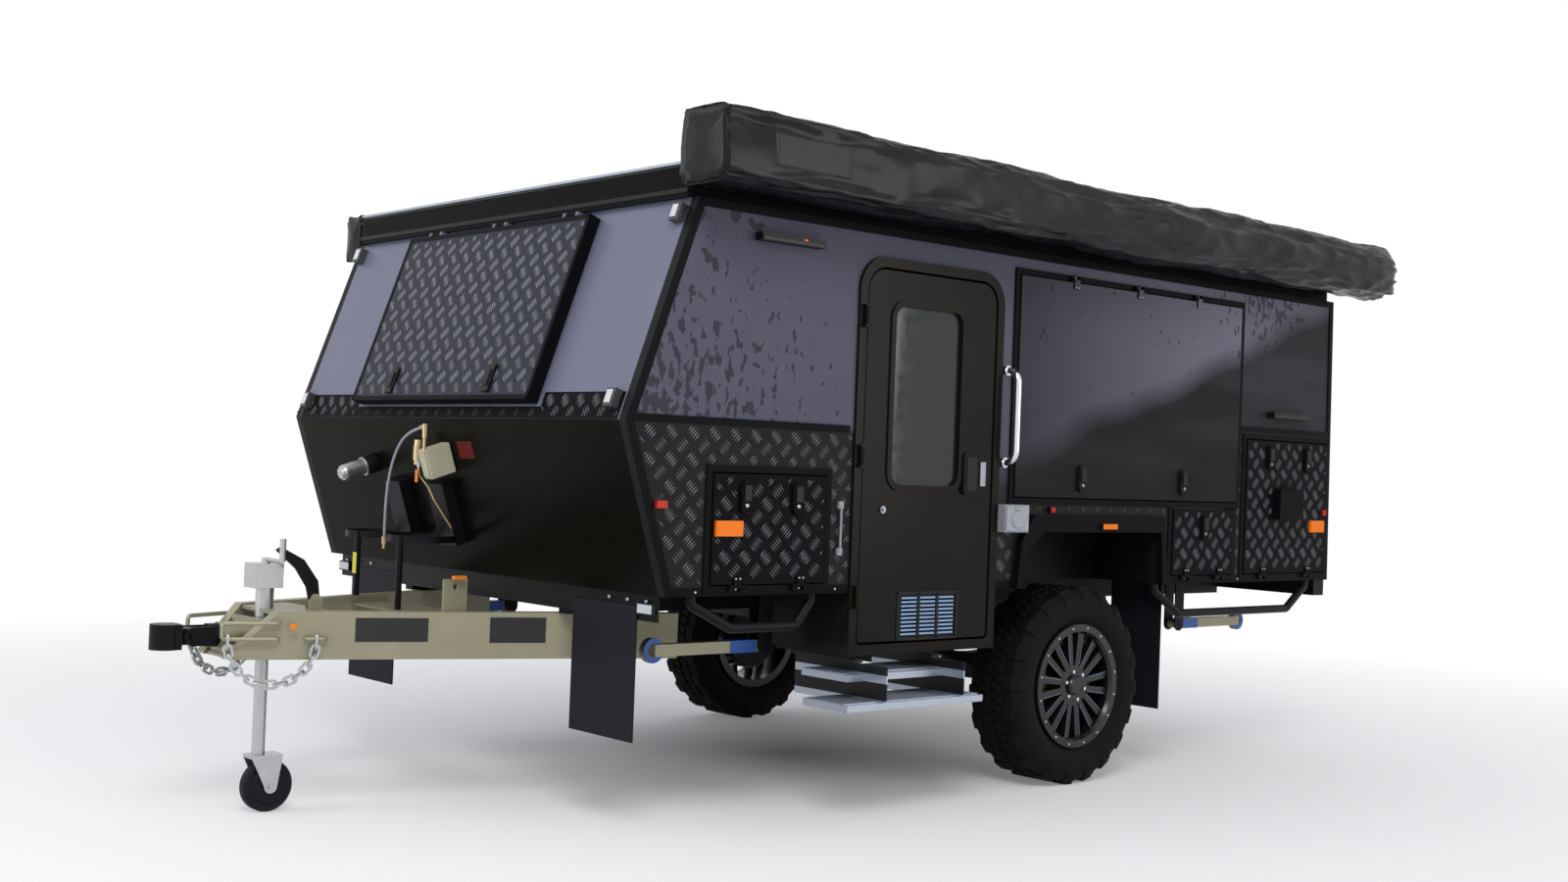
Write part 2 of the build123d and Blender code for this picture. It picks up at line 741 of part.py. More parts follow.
# Plates across the nose: from and to ahead of the axle, from and to above the ground
nose_plates = (
    (nose_rear, 2885, 656, 668),
    (nose_rear, nose_front, beam_low, beam_low + 10),
    (2905, 2925, beam_low + 10, 640),
    (2990, 3010, beam_low + 10, 560),
    (2200, 2390, 640, bottle_plate_high),
)
with BuildPart() as nose_housing:
    for rear, front, low, high in nose_plates:
        with BuildSketch(level(low)):
            shape(between_beams(rear, front))
        extrude(amount=high - low)
    rod(place(2905, 0, shaft_height), place(nose_front, 0, shaft_height), 42)
    rod(place(2880, 0, shaft_height), place(nose_front + 5, 0, shaft_height), shaft_radius + shaft_fit,
        mode=Mode.SUBTRACT)
    rod(place(jockey_ahead, 0, beam_low - 20), place(jockey_ahead, 0, 700), jockey_sleeve_radius,
        mode=Mode.SUBTRACT)
    # Ears and pin of the parking brake lever
    for offset_y in (lever_y - lever_half - running_gap - 5, lever_y + lever_half + running_gap):
        with BuildSketch(side(offset_y + 5)):
            pane((lever_pivot_ahead - 25, lever_pivot_ahead + 25), (660, lever_pivot_height))
            with Locations((lever_pivot_ahead, lever_pivot_height)):
                Circle(18)
        extrude(amount=5)
    rod(place(lever_pivot_ahead, lever_y - 14, lever_pivot_height),
        place(lever_pivot_ahead, lever_y + 14, lever_pivot_height), 7)
store(nose_housing, "nose_housing")

# Coupling: the swivel rolls on its shaft, and the head pitches on its pin
ear_gap = 30
ear = 12
with BuildPart() as coupling_swivel:
    rod(place(2900, 0, shaft_height), place(3050, 0, shaft_height), shaft_radius)
    rod(place(nose_front + running_gap, 0, shaft_height), place(3056, 0, shaft_height), 38)
    for s in (1, -1):
        with BuildSketch(side(s * ear_gap + (ear if s == 1 else 0))):
            shape(((3045, shaft_height - 30), (pitch_ahead, shaft_height - 30),
                   (pitch_ahead, shaft_height + 30), (3045, shaft_height + 30)))
            with Locations((pitch_ahead, shaft_height)):
                Circle(30)
        extrude(amount=ear)
    rod(place(pitch_ahead, -ear_gap - ear - 12, shaft_height), place(pitch_ahead, ear_gap + ear + 12, shaft_height), 12)
store(coupling_swivel, "coupling_swivel")

with BuildPart() as coupling_head:
    with BuildSketch(level(coupling_height)):
        with Locations((coupling_ahead, 0)):
            Circle(46)
        pane((3148, coupling_ahead), (-40, 40))
    extrude(amount=head_height)
    with BuildSketch(side(ear_gap - running_gap)):
        with Locations((pitch_ahead, shaft_height)):
            Circle(28)
        pane((pitch_ahead, 3160), (shaft_height - 26, shaft_height + 26))
    extrude(amount=2 * (ear_gap - running_gap))
    rod(place(pitch_ahead, -ear_gap, shaft_height), place(pitch_ahead, ear_gap, shaft_height), 12 + shaft_fit,
        mode=Mode.SUBTRACT)
    rod(place(coupling_ahead, 0, coupling_height - 5),
        place(coupling_ahead, 0, coupling_height + pin_bore_depth), pin_bore_radius, mode=Mode.SUBTRACT)
store(coupling_head, "coupling_head")

# Parking brake lever
with BuildPart() as brake_lever:
    with BuildSketch(side(lever_y + lever_half)):
        shape(((2707, 695), (2716, 760), (2768, 830), (2850, 872), (2866, 862), (2795, 800),
               (2755, 740), (2743, 690)))
        with Locations((lever_pivot_ahead, lever_pivot_height)):
            Circle(20)
            Circle(7 + shaft_fit, mode=Mode.SUBTRACT)
    extrude(amount=2 * lever_half)
store(brake_lever, "brake_lever")

# Jockey stand
jockey_leg_low = 2 * jockey_wheel_radius + 20
with BuildPart() as jockey_sleeve:
    rod(place(jockey_ahead, 0, jockey_sleeve_low), place(jockey_ahead, 0, 810), jockey_sleeve_radius)
    block((jockey_ahead - 45, jockey_ahead + 55), (-40, 40), (735, 815))
    rod(place(jockey_ahead, 0, jockey_sleeve_low - 5), place(jockey_ahead, 0, 800),
        jockey_tube_radius + jockey_fit, mode=Mode.SUBTRACT)
store(jockey_sleeve, "jockey_sleeve")

jockey_leg_high = 570
with BuildPart() as jockey_leg:
    rod(place(jockey_ahead, 0, jockey_leg_low), place(jockey_ahead, 0, jockey_leg_high), jockey_tube_radius)
    rod(place(jockey_ahead, 0, jockey_leg_low - 14), place(jockey_ahead, 0, jockey_leg_low), 12)
store(jockey_leg, "jockey_leg")

fork_inner = jockey_wheel_width / 2 + 4
with BuildPart() as jockey_fork:
    block((jockey_ahead - 70, jockey_ahead + 34), (-fork_inner - 5, fork_inner + 5),
          (jockey_leg_low - 12, jockey_leg_low - running_gap))
    for s in (1, -1):
        with BuildSketch(side(s * fork_inner + (5 if s == 1 else 0))):
            shape(((jockey_ahead - 70, jockey_leg_low - 12), (jockey_ahead + 34, jockey_leg_low - 12),
                   (jockey_ahead - jockey_trail + 22, jockey_wheel_radius),
                   (jockey_ahead - jockey_trail - 22, jockey_wheel_radius)))
            with Locations((jockey_ahead - jockey_trail, jockey_wheel_radius)):
                Circle(22)
        extrude(amount=5)
    rod(place(jockey_ahead - jockey_trail, -fork_inner - 10, jockey_wheel_radius),
        place(jockey_ahead - jockey_trail, fork_inner + 10, jockey_wheel_radius), 8)
    rod(place(jockey_ahead, 0, jockey_leg_low - 20), place(jockey_ahead, 0, jockey_leg_low + 5),
        12 + shaft_fit, mode=Mode.SUBTRACT)
store(jockey_fork, "jockey_fork")

jockey_axle = Plane(origin=place(jockey_ahead - jockey_trail, 0, jockey_wheel_radius),
                    x_dir=(1, 0, 0), z_dir=(0, 0, 1))
with BuildPart() as jockey_wheel:
    with BuildSketch(jockey_axle):
        half = jockey_wheel_width / 2
        shape(((8 + shaft_fit, -half), (55, -half), (62, -half + 6), (jockey_wheel_radius - 8, -half + 4),
               (jockey_wheel_radius, -half + 14), (jockey_wheel_radius, half - 14),
               (jockey_wheel_radius - 8, half - 4), (62, half - 6), (55, half), (8 + shaft_fit, half)))
    revolve(axis=Axis(jockey_axle.origin, (0, 1, 0)))
store(jockey_wheel, "jockey_wheel")

# Chassis rails with their spring hangers, and the brackets that carry the steadies
hanger_half = spring_width / 2 + 8.5
with BuildPart() as chassis_rails:
    for s in (1, -1):
        block((rear_bottom + 20, valance_ahead), (s * rail_inner, s * (rail_y + rail_width / 2)),
              (body_bottom - rail_height, body_bottom))
        for ahead in (spring_half_length, -spring_half_length):
            hanger_top = body_bottom - rail_height
            block((ahead - 30, ahead + 30), (s * (rail_y - hanger_half), s * (rail_y + hanger_half)),
                  (hanger_top - 8, hanger_top))
            for y in (rail_y - hanger_half + 4, rail_y + hanger_half - 4):
                block((ahead - 30, ahead + 30), (s * (y - 4), s * (y + 4)),
                      (spring_eye_height - 24, hanger_top))
            rod(place(ahead, s * (rail_y - 42), spring_eye_height),
                place(ahead, s * (rail_y + 42), spring_eye_height), 9)
        for pivot in (front_steady_pivot, rear_steady_pivot):
            for y in (steady_y - 27, steady_y + 27):
                with BuildSketch(side(s * y + 3)):
                    pane((pivot - 30, pivot + 30), (steady_height, body_bottom))
                    with Locations((pivot, steady_height)):
                        Circle(30)
                extrude(amount=6)
            rod(place(pivot, s * (steady_y - 32), steady_height),
                place(pivot, s * (steady_y + 32), steady_height), 8)
store(chassis_rails, "chassis_rails")

with BuildPart() as water_tanks:
    for ahead in ((-965, -125), (-115, 655)):
        block(ahead, (-rail_inner + 55, rail_inner - 55), (560, body_bottom - 70))
store(water_tanks, "water_tanks")

# Axle with spindles and backing plates
axle_height = tyre_radius
with BuildPart() as axle_beam:
    beam_half = wheel_middle_y - 85
    block((-axle_size / 2, axle_size / 2), (-beam_half, beam_half),
          (axle_height - axle_size / 2, axle_height + axle_size / 2))
    for s in (1, -1):
        rod(place(0, s * beam_half, axle_height), place(0, s * (wheel_middle_y + 35), axle_height),
            spindle_radius)
        rod(place(0, s * (wheel_middle_y - 85), axle_height),
            place(0, s * (wheel_middle_y - 77), axle_height), drum_radius - 6)
store(axle_beam, "axle_beam")

camber = spring_eye_height - (axle_height + axle_size / 2 + leaves * leaf_thickness + 6)
spring_radius = (spring_half_length ** 2 + camber ** 2) / (2 * camber)
with BuildPart() as leaf_springs:
    for s in (1, -1):
        low_y = s * (spring_y - spring_width / 2)
        high_y = s * (spring_y + spring_width / 2)
        middle = spring_eye_height - camber + spring_radius
        for number in range(leaves):
            half_angle = math.asin(spring_half_length / spring_radius) * (1 - 0.17 * number)
            inner = spring_radius + number * leaf_thickness
            outer = inner + leaf_thickness
            with BuildSketch(side(max(low_y, high_y))):
                with BuildLine():
                    ends = []
                    for radius in (inner, outer):
                        dx = radius * math.sin(half_angle)
                        dz = radius * math.cos(half_angle)
                        ThreePointArc((-dx, middle - dz), (0, middle - radius), (dx, middle - dz))
                        ends.append(((-dx, middle - dz), (dx, middle - dz)))
                    Line(ends[0][0], ends[1][0])
                    Line(ends[0][1], ends[1][1])
                make_face()
            extrude(amount=spring_width)
        for ahead in (spring_half_length, -spring_half_length):
            rod(place(ahead, low_y, spring_eye_height), place(ahead, high_y, spring_eye_height), 18)
            rod(place(ahead, low_y, spring_eye_height), place(ahead, high_y, spring_eye_height), 9.3,
                mode=Mode.SUBTRACT)
        block((-60, 60), (low_y, high_y), (axle_height + axle_size / 2, axle_height + axle_size / 2 + 12))
store(leaf_springs, "leaf_springs")

# One tyre and one rim about the Y axis at the origin, outer face towards +Y
half_tyre = tyre_width / 2
crown = tyre_radius - tread_depth
lug_inner_y = 54
tyre_steps = 2 * shoulder_lugs
bead_corner = bead_radius / math.cos(math.pi / tyre_steps)
# Half of the tyre's section, and of a shoulder lug's, as radius and distance from the middle
tyre_section = ((bead_corner, 93), (300, half_tyre - 1), (crown - 14, 114), (crown, 98))
lug_section = ((crown, lug_inner_y), (tyre_radius, lug_inner_y), (tyre_radius - 2, 108), (crown - 11, 124))


def turned(radius, y, step):
    angle = 2 * math.pi * step / tyre_steps
    return (radius * math.cos(angle), y, radius * math.sin(angle))


def tyre_face(points):
    return Face(Wire.make_polygon([Vector(*point) for point in points], close=True))


def tyre_strips(section, step):
    """Flat faces between the two ends of one step along a section."""
    for (r1, y1), (r2, y2) in zip(section, section[1:]):
        yield tyre_face((turned(r1, y1, step), turned(r2, y2, step), turned(r2, y2, step + 1), turned(r1, y1, step + 1)))


tyre_faces = []
for step in range(tyre_steps):
    lug_side = 1 if step % 2 == 0 else -1
    for s in (1, -1):
        plain = [(radius, s * y) for radius, y in tyre_section]
        if s == lug_side:
            lug = [(radius, s * y) for radius, y in lug_section]
            tyre_faces += tyre_strips(plain[:3] + lug[::-1], step)
            for end in (step, step + 1):
                tyre_faces.append(tyre_face([turned(r, y, end) for r, y in lug + [plain[2], plain[3]]]))
        else:
            tyre_faces += tyre_strips(plain, step)
    across_crown = [98 * -lug_side, lug_inner_y * -lug_side, lug_inner_y * lug_side]
    tyre_faces.append(tyre_face([turned(crown, y, step) for y in across_crown]
                                + [turned(crown, y, step + 1) for y in across_crown[::-1]]))
    tyre_faces += tyre_strips([tyre_section[0], (bead_corner, -tyre_section[0][1])], step)
with BuildPart() as tyre_form:
    add(Solid(Shell(tyre_faces)))

with BuildPart() as rim_form:
    half_rim = rim_width / 2
    ring_out = half_rim + rim_ring_thickness
    with BuildSketch(Plane.XY):
        shape(((204, -half_rim - 10), (236, -half_rim - 10), (236, -half_rim),
               (bead_radius - 0.3, -half_rim), (bead_radius - 0.3, half_rim),
               (rim_ring_radius, half_rim), (rim_ring_radius, ring_out), (212, ring_out),
               (204, half_rim)))
    revolve(axis=Axis.Y)
    with BuildSketch(Plane(origin=(0, 96, 0), x_dir=(1, 0, 0), z_dir=(0, 1, 0))):
        Circle(78)
        with PolarLocations(0, spokes):
            Polygon((60, 4), (60, 26), (206, 46), (206, 20), align=None)
            Polygon((60, -4), (60, -26), (206, -46), (206, -20), align=None)
    extrude(amount=-30)
    rod((0, 55, 0), (0, 70, 0), 78)
    rod((0, 90, 0), (0, 106, 0), 40)

# Brake drum with its hub, bored for the spindle
with BuildPart() as drum_form:
    rod((0, -75, 0), (0, 55, 0), drum_radius)
    rod((0, -80, 0), (0, 40, 0), spindle_radius + shaft_fit, mode=Mode.SUBTRACT)

for prefix, s in (("left", 1), ("right", -1)):
    spot = Location(place(0, s * wheel_middle_y, axle_height), (0, 0, 0 if s == 1 else 180))
    for kind, forms in (("tyre", (tyre_form,)), ("rim", (rim_form, drum_form))):
        with BuildPart() as wheel_piece:
            with Locations(spot):
                add([form.part for form in forms])
        store(wheel_piece, f"{prefix}_{kind}")

# Spare wheel on the rear wall, outer face towards the rear
spare_height = 1240
spare_out = 150
bumper_depth = 62
spare_spot = Location(place(rear_bottom - spare_out, 0, spare_height), (0, 0, 90))
for kind, form in (("tyre", tyre_form), ("rim", rim_form)):
    with BuildPart() as spare_piece:
        with Locations(spare_spot):
            add(form.part)
    store(spare_piece, f"spare_{kind}")

with BuildPart() as spare_carrier:
    block((rear_bottom - spare_out - 55, rear_bottom + 8), (-60, 60), (spare_height - 60, spare_height + 60))
    block((rear_bottom - 2, rear_bottom + 8), (-180, 180), (spare_height - 120, spare_height + 120))
    with BuildSketch(side(200)):
        shape(((rear_bottom, body_bottom), (rear_top, body_top), (rear_top + 60, body_top),
               (rear_bottom + 60, body_bottom)))
    extrude(amount=400, mode=Mode.SUBTRACT)
    block((rear_bottom - bumper_depth, rear_bottom + 20), (-half_width + 50, half_width - 50), (700, body_bottom))
store(spare_carrier, "rear_carrier")

# Mudflaps, guard bars and the front valance
with BuildPart() as mudflaps:
    for s in (1, -1):
        block((valance_ahead + 8, valance_ahead + 14), (s * (half_width - 510), s * (half_width - 160)), (300, 735))
        block((-556, -550), (s * (half_width - 310), s * (half_width - 55)), (256, body_bottom))
store(mudflaps, "mudflaps")

guard_y = half_width - 22
guard_radius = 17
# Guard bars: points ahead of the axle and above the ground
guard_routes = (
    ((1948, body_bottom), (1948, 748), (1780, 668), (1500, 668), (1436, 748), (1436, body_bottom)),
    ((-452, body_bottom), (-452, 748), (-620, 650), (-1420, 650), (-1560, 748), (-1560, body_bottom)),
)
with BuildPart() as guard_bars:
    for s in (1, -1):
        for route in guard_routes:
            points = [place(ahead, s * guard_y, height) for ahead, height in route]
            with BuildLine() as path:
                FilletPolyline(*points, radius=24)
            with BuildSketch(Plane(origin=points[0], z_dir=(0, 0, -1))):
                Circle(guard_radius)
            sweep(path=path.wires()[0])
store(guard_bars, "guard_bars")

# Steadies, stored level under the floor
steadies = (
    ("steady_front_left", front_steady_pivot, 1, 1),
    ("steady_front_right", front_steady_pivot, -1, 1),
    ("steady_rear_left", rear_steady_pivot, 1, -1),
    ("steady_rear_right", rear_steady_pivot, -1, -1),
)
for name, pivot, s, turn in steadies:
    with BuildPart() as steady:
        with BuildSketch(side(s * steady_y + 20)):
            pane(sorted((pivot, pivot + turn * steady_length)), (steady_height - 20, steady_height + 20))
            with Locations((pivot, steady_height)):
                Circle(20)
        extrude(amount=40)
        with BuildSketch(side(s * steady_y + 10)):
            with Locations((pivot + turn * steady_length, steady_height)):
                Circle(steady_foot_radius)
                Circle(22, mode=Mode.SUBTRACT)
        extrude(amount=20)
        rod(place(pivot, s * (steady_y - 22), steady_height), place(pivot, s * (steady_y + 22), steady_height),
            8 + shaft_fit, mode=Mode.SUBTRACT)
    store(steady, name)

# Pull-out step with two treads
with BuildPart() as entry_step:
    for ahead in runner_places:
        block((ahead, ahead + runner_width), (790, 1110), (runner_low - 12, runner_low - running_gap))
        block((ahead + 17, ahead + 23), (790, 1250), (lower_tread_height - 20, runner_low - 12))
    block((step_rear, step_front - 90), (920, 1150), (upper_tread_height - tread_thickness, upper_tread_height))
    block((step_rear, step_front), (1030, 1250), (lower_tread_height - tread_thickness, lower_tread_height))
store(entry_step, "entry_step")

# Grab handle beside the door
with BuildPart() as grab_handle:
    handle_points = [place(518, half_width, 1240), place(518, half_width + 60, 1240),
                     place(518, half_width + 60, 1580), place(518, half_width, 1580)]
    with BuildLine() as handle_path:
        FilletPolyline(*handle_points, radius=45)
    with BuildSketch(Plane(origin=handle_points[0], z_dir=(0, 1, 0))):
        Circle(13)
    sweep(path=handle_path.wires()[0])
store(grab_handle, "grab_handle")

# Lower front wall's face: how far ahead it lies, and points off it
nose_lean = (nose_ahead - front_bottom) / (nose_height - body_bottom)
nose_angle = math.atan(nose_lean)


def nose_point(height, out):
    """Point off the lower front wall's face, as ahead of the axle and above the ground."""
    return (front_bottom + (height - body_bottom) * nose_lean + out * math.cos(nose_angle),
            height - out * math.sin(nose_angle))


def nose_strip(height, out):
    """Corners of a strip along the lower front wall's face."""
    return (nose_point(height[0], out[0]), nose_point(height[0], out[1]),
            nose_point(height[1], out[1]), nose_point(height[1], out[0]))


# Gas bottle holders: a ring on a board, with a stay down to the drawbar or its plate
ring_radius = 120
ring_band = 4
ring_height = 881
ring_ahead = 2253
ring_depth = 24
board_half = 55
# Holders: middle, and the height of what the stay stands on
holders = ((-375, beam_high), (-67, bottle_plate_high))
stay_offset = (108, 45)
with BuildPart() as gas_rings:
    for y, foot in holders:
        with BuildSketch(level(ring_height)):
            with Locations((ring_ahead, y)):
                Circle(ring_radius)
                Circle(ring_radius - ring_band, mode=Mode.SUBTRACT)
        extrude(amount=ring_depth)
        with BuildSketch(side(y + board_half)):
            shape(nose_strip((880, 1100), (running_gap, 45)))
        extrude(amount=2 * board_half)
        rod(place(ring_ahead + stay_offset[0], y + stay_offset[1], foot),
            place(ring_ahead + stay_offset[0], y + stay_offset[1], ring_height + ring_depth), 11)
store(gas_rings, "gas_rings")

# Gas hose: it leaves an elbow over the regulator box and hangs in front of the second holder
hose_radius = 5
hose_route = ((2310, 1, 1283), (2310, -101, 1265), (2310, -179, 1191),
              (2310, -221, 1092), (2310, -233, 986), (2310, -232, 889))
box_height = (1130, 1240)
with BuildPart() as gas_fittings:
    canister = (nose_point(1151, running_gap), nose_point(1151, 40), nose_point(1151, 150))
    (rear, rear_high), (collar, collar_high), (tip, tip_high) = canister
    rod(place(rear, -550, rear_high), place(collar, -550, collar_high), 36)
    rod(place(rear, -550, rear_high), place(tip, -550, tip_high), 30)
    with BuildSketch(side(40)):
        shape(nose_strip(box_height, (running_gap, 110)))
    extrude(amount=100)
    elbow = Vector(*place(*hose_route[0]))
    away = (elbow - Vector(*place(*hose_route[1]))).normalized()
    rod(elbow, elbow + away * 34, 9)
    rod(elbow + away * 26, elbow + away * 26 - Vector(0, 0, 95), 9)
    rod(place(2262, -100, 1150), place(2262, -100, 1240), 18)
    rod(place(2262, -100, 1200), place(2262, -40, 1200), 8)
store(gas_fittings, "gas_fittings")

hose_points = [Vector(*place(*point)) for point in hose_route]
hose_bends = []
for before, corner, after in zip(hose_points, hose_points[1:], hose_points[2:]):
    half_turn = math.radians((corner - before).get_angle(after - corner)) / 2
    hose_bends.append(0.45 * min((corner - before).length, (after - corner).length) / math.tan(half_turn))
print("gas hose bend radii:", [round(bend) for bend in hose_bends])
with BuildPart() as gas_hose:
    with BuildLine() as hose_path:
        FilletPolyline(*hose_points, radius=hose_bends)
    with BuildSketch(Plane(origin=hose_points[0], z_dir=hose_points[1] - hose_points[0])):
        Circle(hose_radius)
    sweep(path=hose_path.wires()[0])
hose_length = hose_path.wires()[0].length
hose_share = gas_hose.part.volume / (math.pi * hose_radius ** 2 * hose_length)
print("gas hose length:", round(hose_length), "volume over section times length:", round(hose_share, 4))
store(gas_hose, "gas_hose")

# Lamps: side, ahead of the axle, above the ground, seat, depth
plate_face = half_width + plate
flare_face = half_width + flare
lamp_places = (
    (1, (1475, 1754), (1922, 1948), half_width, 38),
    (1, (-1476, -1190), (1485, 1511), half_width, 38),
    (-1, (1475, 1754), (1922, 1948), half_width, 38),
    (1, (230, 258), (1058, 1080), plate_face, 16),
    (-1, (230, 258), (1058, 1080), plate_face, 16),
    (1, (-124, -30), (996, 1020), flare_face, 12),
    (-1, (-124, -30), (996, 1020), flare_face, 12),
)
front_lamp_y = half_width - 145
rear_lamp_y = half_width - 280
with BuildPart() as lamps:
    for s, ahead, height, seat, depth in lamp_places:
        block(ahead, (s * seat, s * (seat + depth)), height)
    for s in (1, -1):
        block((valance_ahead + 8, valance_ahead + 24), (s * front_lamp_y, s * (front_lamp_y + 80)), (712, 748))
        block((rear_bottom - bumper_depth - 14, rear_bottom - bumper_depth),
              (s * rear_lamp_y, s * (rear_lamp_y + 180)), (712, 762))
store(lamps, "lamps")

# Fittings on the walls: power inlet, the door's hold-back hook and the lid's catches on the slope
catch_places = ((1050, -60), (1030, 64 - slope_length))
with BuildPart() as wall_fittings:
    block((412, 546), (plate_face, plate_face + 40), (984, 1086))
    for height in (1072, 915):
        block((1330, 1350), (plate_face, plate_face + 10), (height - 12, height + 12))
    rod(place(1340, plate_face + 10, 915), place(1340, plate_face + 10, 1072), 4)
    with BuildSketch(slope(0)):
        for y, up in catch_places:
            for s in (1, -1):
                with Locations((s * y, up)):
                    Rectangle(44, 60)
    extrude(amount=30)
store(wall_fittings, "wall_fittings")
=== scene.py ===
"""Hybrid camper trailer: finishes, soft bags, tread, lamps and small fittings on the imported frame.

Metres. Places are given as (ahead of the axle, towards the door side, above the ground).
"""

import math

import bpy
from mathutils import Matrix, Vector, noise
from mathutils.bvhtree import BVHTree


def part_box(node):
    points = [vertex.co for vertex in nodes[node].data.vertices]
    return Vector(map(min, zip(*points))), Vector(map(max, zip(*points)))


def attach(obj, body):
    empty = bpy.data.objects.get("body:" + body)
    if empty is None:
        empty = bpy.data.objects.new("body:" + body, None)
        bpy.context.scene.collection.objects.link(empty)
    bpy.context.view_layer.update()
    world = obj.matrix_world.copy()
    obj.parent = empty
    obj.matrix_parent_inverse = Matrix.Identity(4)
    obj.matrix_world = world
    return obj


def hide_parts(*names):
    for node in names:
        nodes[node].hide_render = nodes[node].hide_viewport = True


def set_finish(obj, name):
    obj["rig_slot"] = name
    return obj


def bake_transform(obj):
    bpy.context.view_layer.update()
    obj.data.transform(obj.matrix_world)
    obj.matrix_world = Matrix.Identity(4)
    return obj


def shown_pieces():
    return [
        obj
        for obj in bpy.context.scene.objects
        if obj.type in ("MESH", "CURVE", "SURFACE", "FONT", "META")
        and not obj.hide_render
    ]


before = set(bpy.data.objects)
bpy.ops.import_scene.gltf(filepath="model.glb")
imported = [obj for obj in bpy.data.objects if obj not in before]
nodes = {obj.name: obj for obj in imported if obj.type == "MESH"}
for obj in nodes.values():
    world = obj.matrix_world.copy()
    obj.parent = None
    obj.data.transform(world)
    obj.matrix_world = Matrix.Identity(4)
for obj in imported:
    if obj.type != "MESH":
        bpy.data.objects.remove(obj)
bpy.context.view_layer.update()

COUPLING_AHEAD = 3.190
COUPLING_HEIGHT = 0.545
# How far the side walls' faces, the wheels' middles and the steadies are from the middle line
SIDE = 1.110
HALF_TRACK = 0.9635
STEADY_ACROSS = 0.810
AXLE_HEIGHT = 0.384
CHASSIS, ROOF, COVER = "chassis", "roof_body", "window_cover_body"
# Corners of the front in side view and of the drawbar beam in plan: (ahead, height) and (ahead, y)
NOSE_FOOT = (2.065, 0.775)
NOSE_KNEE = (2.243, 1.320)
ROOF_EDGE = (1.991, 2.033)
BEAM_REAR = (2.010, 0.500)
BEAM_FRONT = (3.030, 0.120)


def at(ahead, y, height):
    return Vector((ahead - COUPLING_AHEAD, y, height - COUPLING_HEIGHT))


# Materials
class Nodes:
    """The node tree of a material or a world, with a method for each kind of node used here."""

    def __init__(self, owner):
        owner.use_nodes = True
        self.owner = owner
        self.tree = owner.node_tree
        self.link = self.tree.links.new

    def new(self, kind):
        return self.tree.nodes.new(f"ShaderNode{kind}")

    def put(self, node, values):
        """Links each output given, and sets each number or colour on the node's own socket."""
        for name, value in values.items():
            if isinstance(value, tuple):
                node.inputs[name].default_value = (*value, 1.0)
            elif isinstance(value, (int, float)):
                node.inputs[name].default_value = value
            else:
                self.link(value, node.inputs[name])
        return node

    def shade(self, values):
        """Fills sockets of the material's shader, and gives the material."""
        self.put(self.tree.nodes["Principled BSDF"], values)
        return self.owner

    def noise(self, vector, scale, detail=4.0, roughness=0.55):
        values = {"Scale": scale, "Detail": detail, "Roughness": roughness, "Vector": vector}
        return self.put(self.new("TexNoise"), values).outputs["Fac"]

    def math(self, operation, *values):
        node = self.new("Math")
        node.operation = operation
        return self.put(node, dict(enumerate(values))).outputs[0]

    def times(self, a, b):
        return self.math("MULTIPLY", a, b)

    def ramp(self, value, low, high):
        """0 below low, 1 above high, straight between."""
        values = {"From Min": low, "From Max": high, "Value": value}
        return self.put(self.new("MapRange"), values).outputs["Result"]

    def mix(self, share, a, b):
        node = self.new("Mix")
        node.data_type = "RGBA"
        return self.put(node, {"Factor": share, "A": a, "B": b}).outputs["Result"]

    def coordinates(self, kind="Object"):
        return self.new("TexCoord").outputs[kind]

    def axes(self, vector):
        return self.put(self.new("SeparateXYZ"), {"Vector": vector}).outputs

    def mapped(self, vector, scale, turn=0.0):
        """Coordinates stretched, and turned about y."""
        node = self.put(self.new("Mapping"), {"Vector": vector})
        node.inputs["Rotation"].default_value = (0.0, turn, 0.0)
        node.inputs["Scale"].default_value = scale
        return node.outputs["Vector"]

    def background_rays(self):
        """1 where the background shows: to the camera, in metal and through glass."""
        path = self.new("LightPath").outputs
        seen = self.math("MAXIMUM", path["Is Camera Ray"], path["Is Glossy Ray"])
        return self.math("MAXIMUM", seen, path["Is Transmission Ray"])


def new_nodes(name):
    return Nodes(bpy.data.materials.new(name))


def finish(name, colour, roughness, metallic=0.0, wear=0.12, scale=30.0, bump=0.0, alpha=1.0, specular=0.5):
    """Procedural finish: colour and roughness vary a little, with an optional fine bump."""
    nt = new_nodes(name)
    where = nt.coordinates()
    grain = nt.noise(where, scale)
    darker = tuple(c * (1 - wear) for c in colour)
    lighter = tuple(min(1.0, c * (1 + wear)) for c in colour)
    if bump:
        fine = nt.noise(where, scale * 6)
        raised = nt.put(nt.new("Bump"), {"Strength": bump, "Distance": 0.002, "Height": fine})
        nt.shade({"Normal": raised.outputs["Normal"]})
    return nt.shade({"Base Color": nt.mix(grain, darker, lighter),
                     "Roughness": nt.math("MULTIPLY_ADD", grain, 0.16, roughness - 0.08),
                     "Metallic": metallic, "Alpha": alpha, "Specular IOR Level": specular})


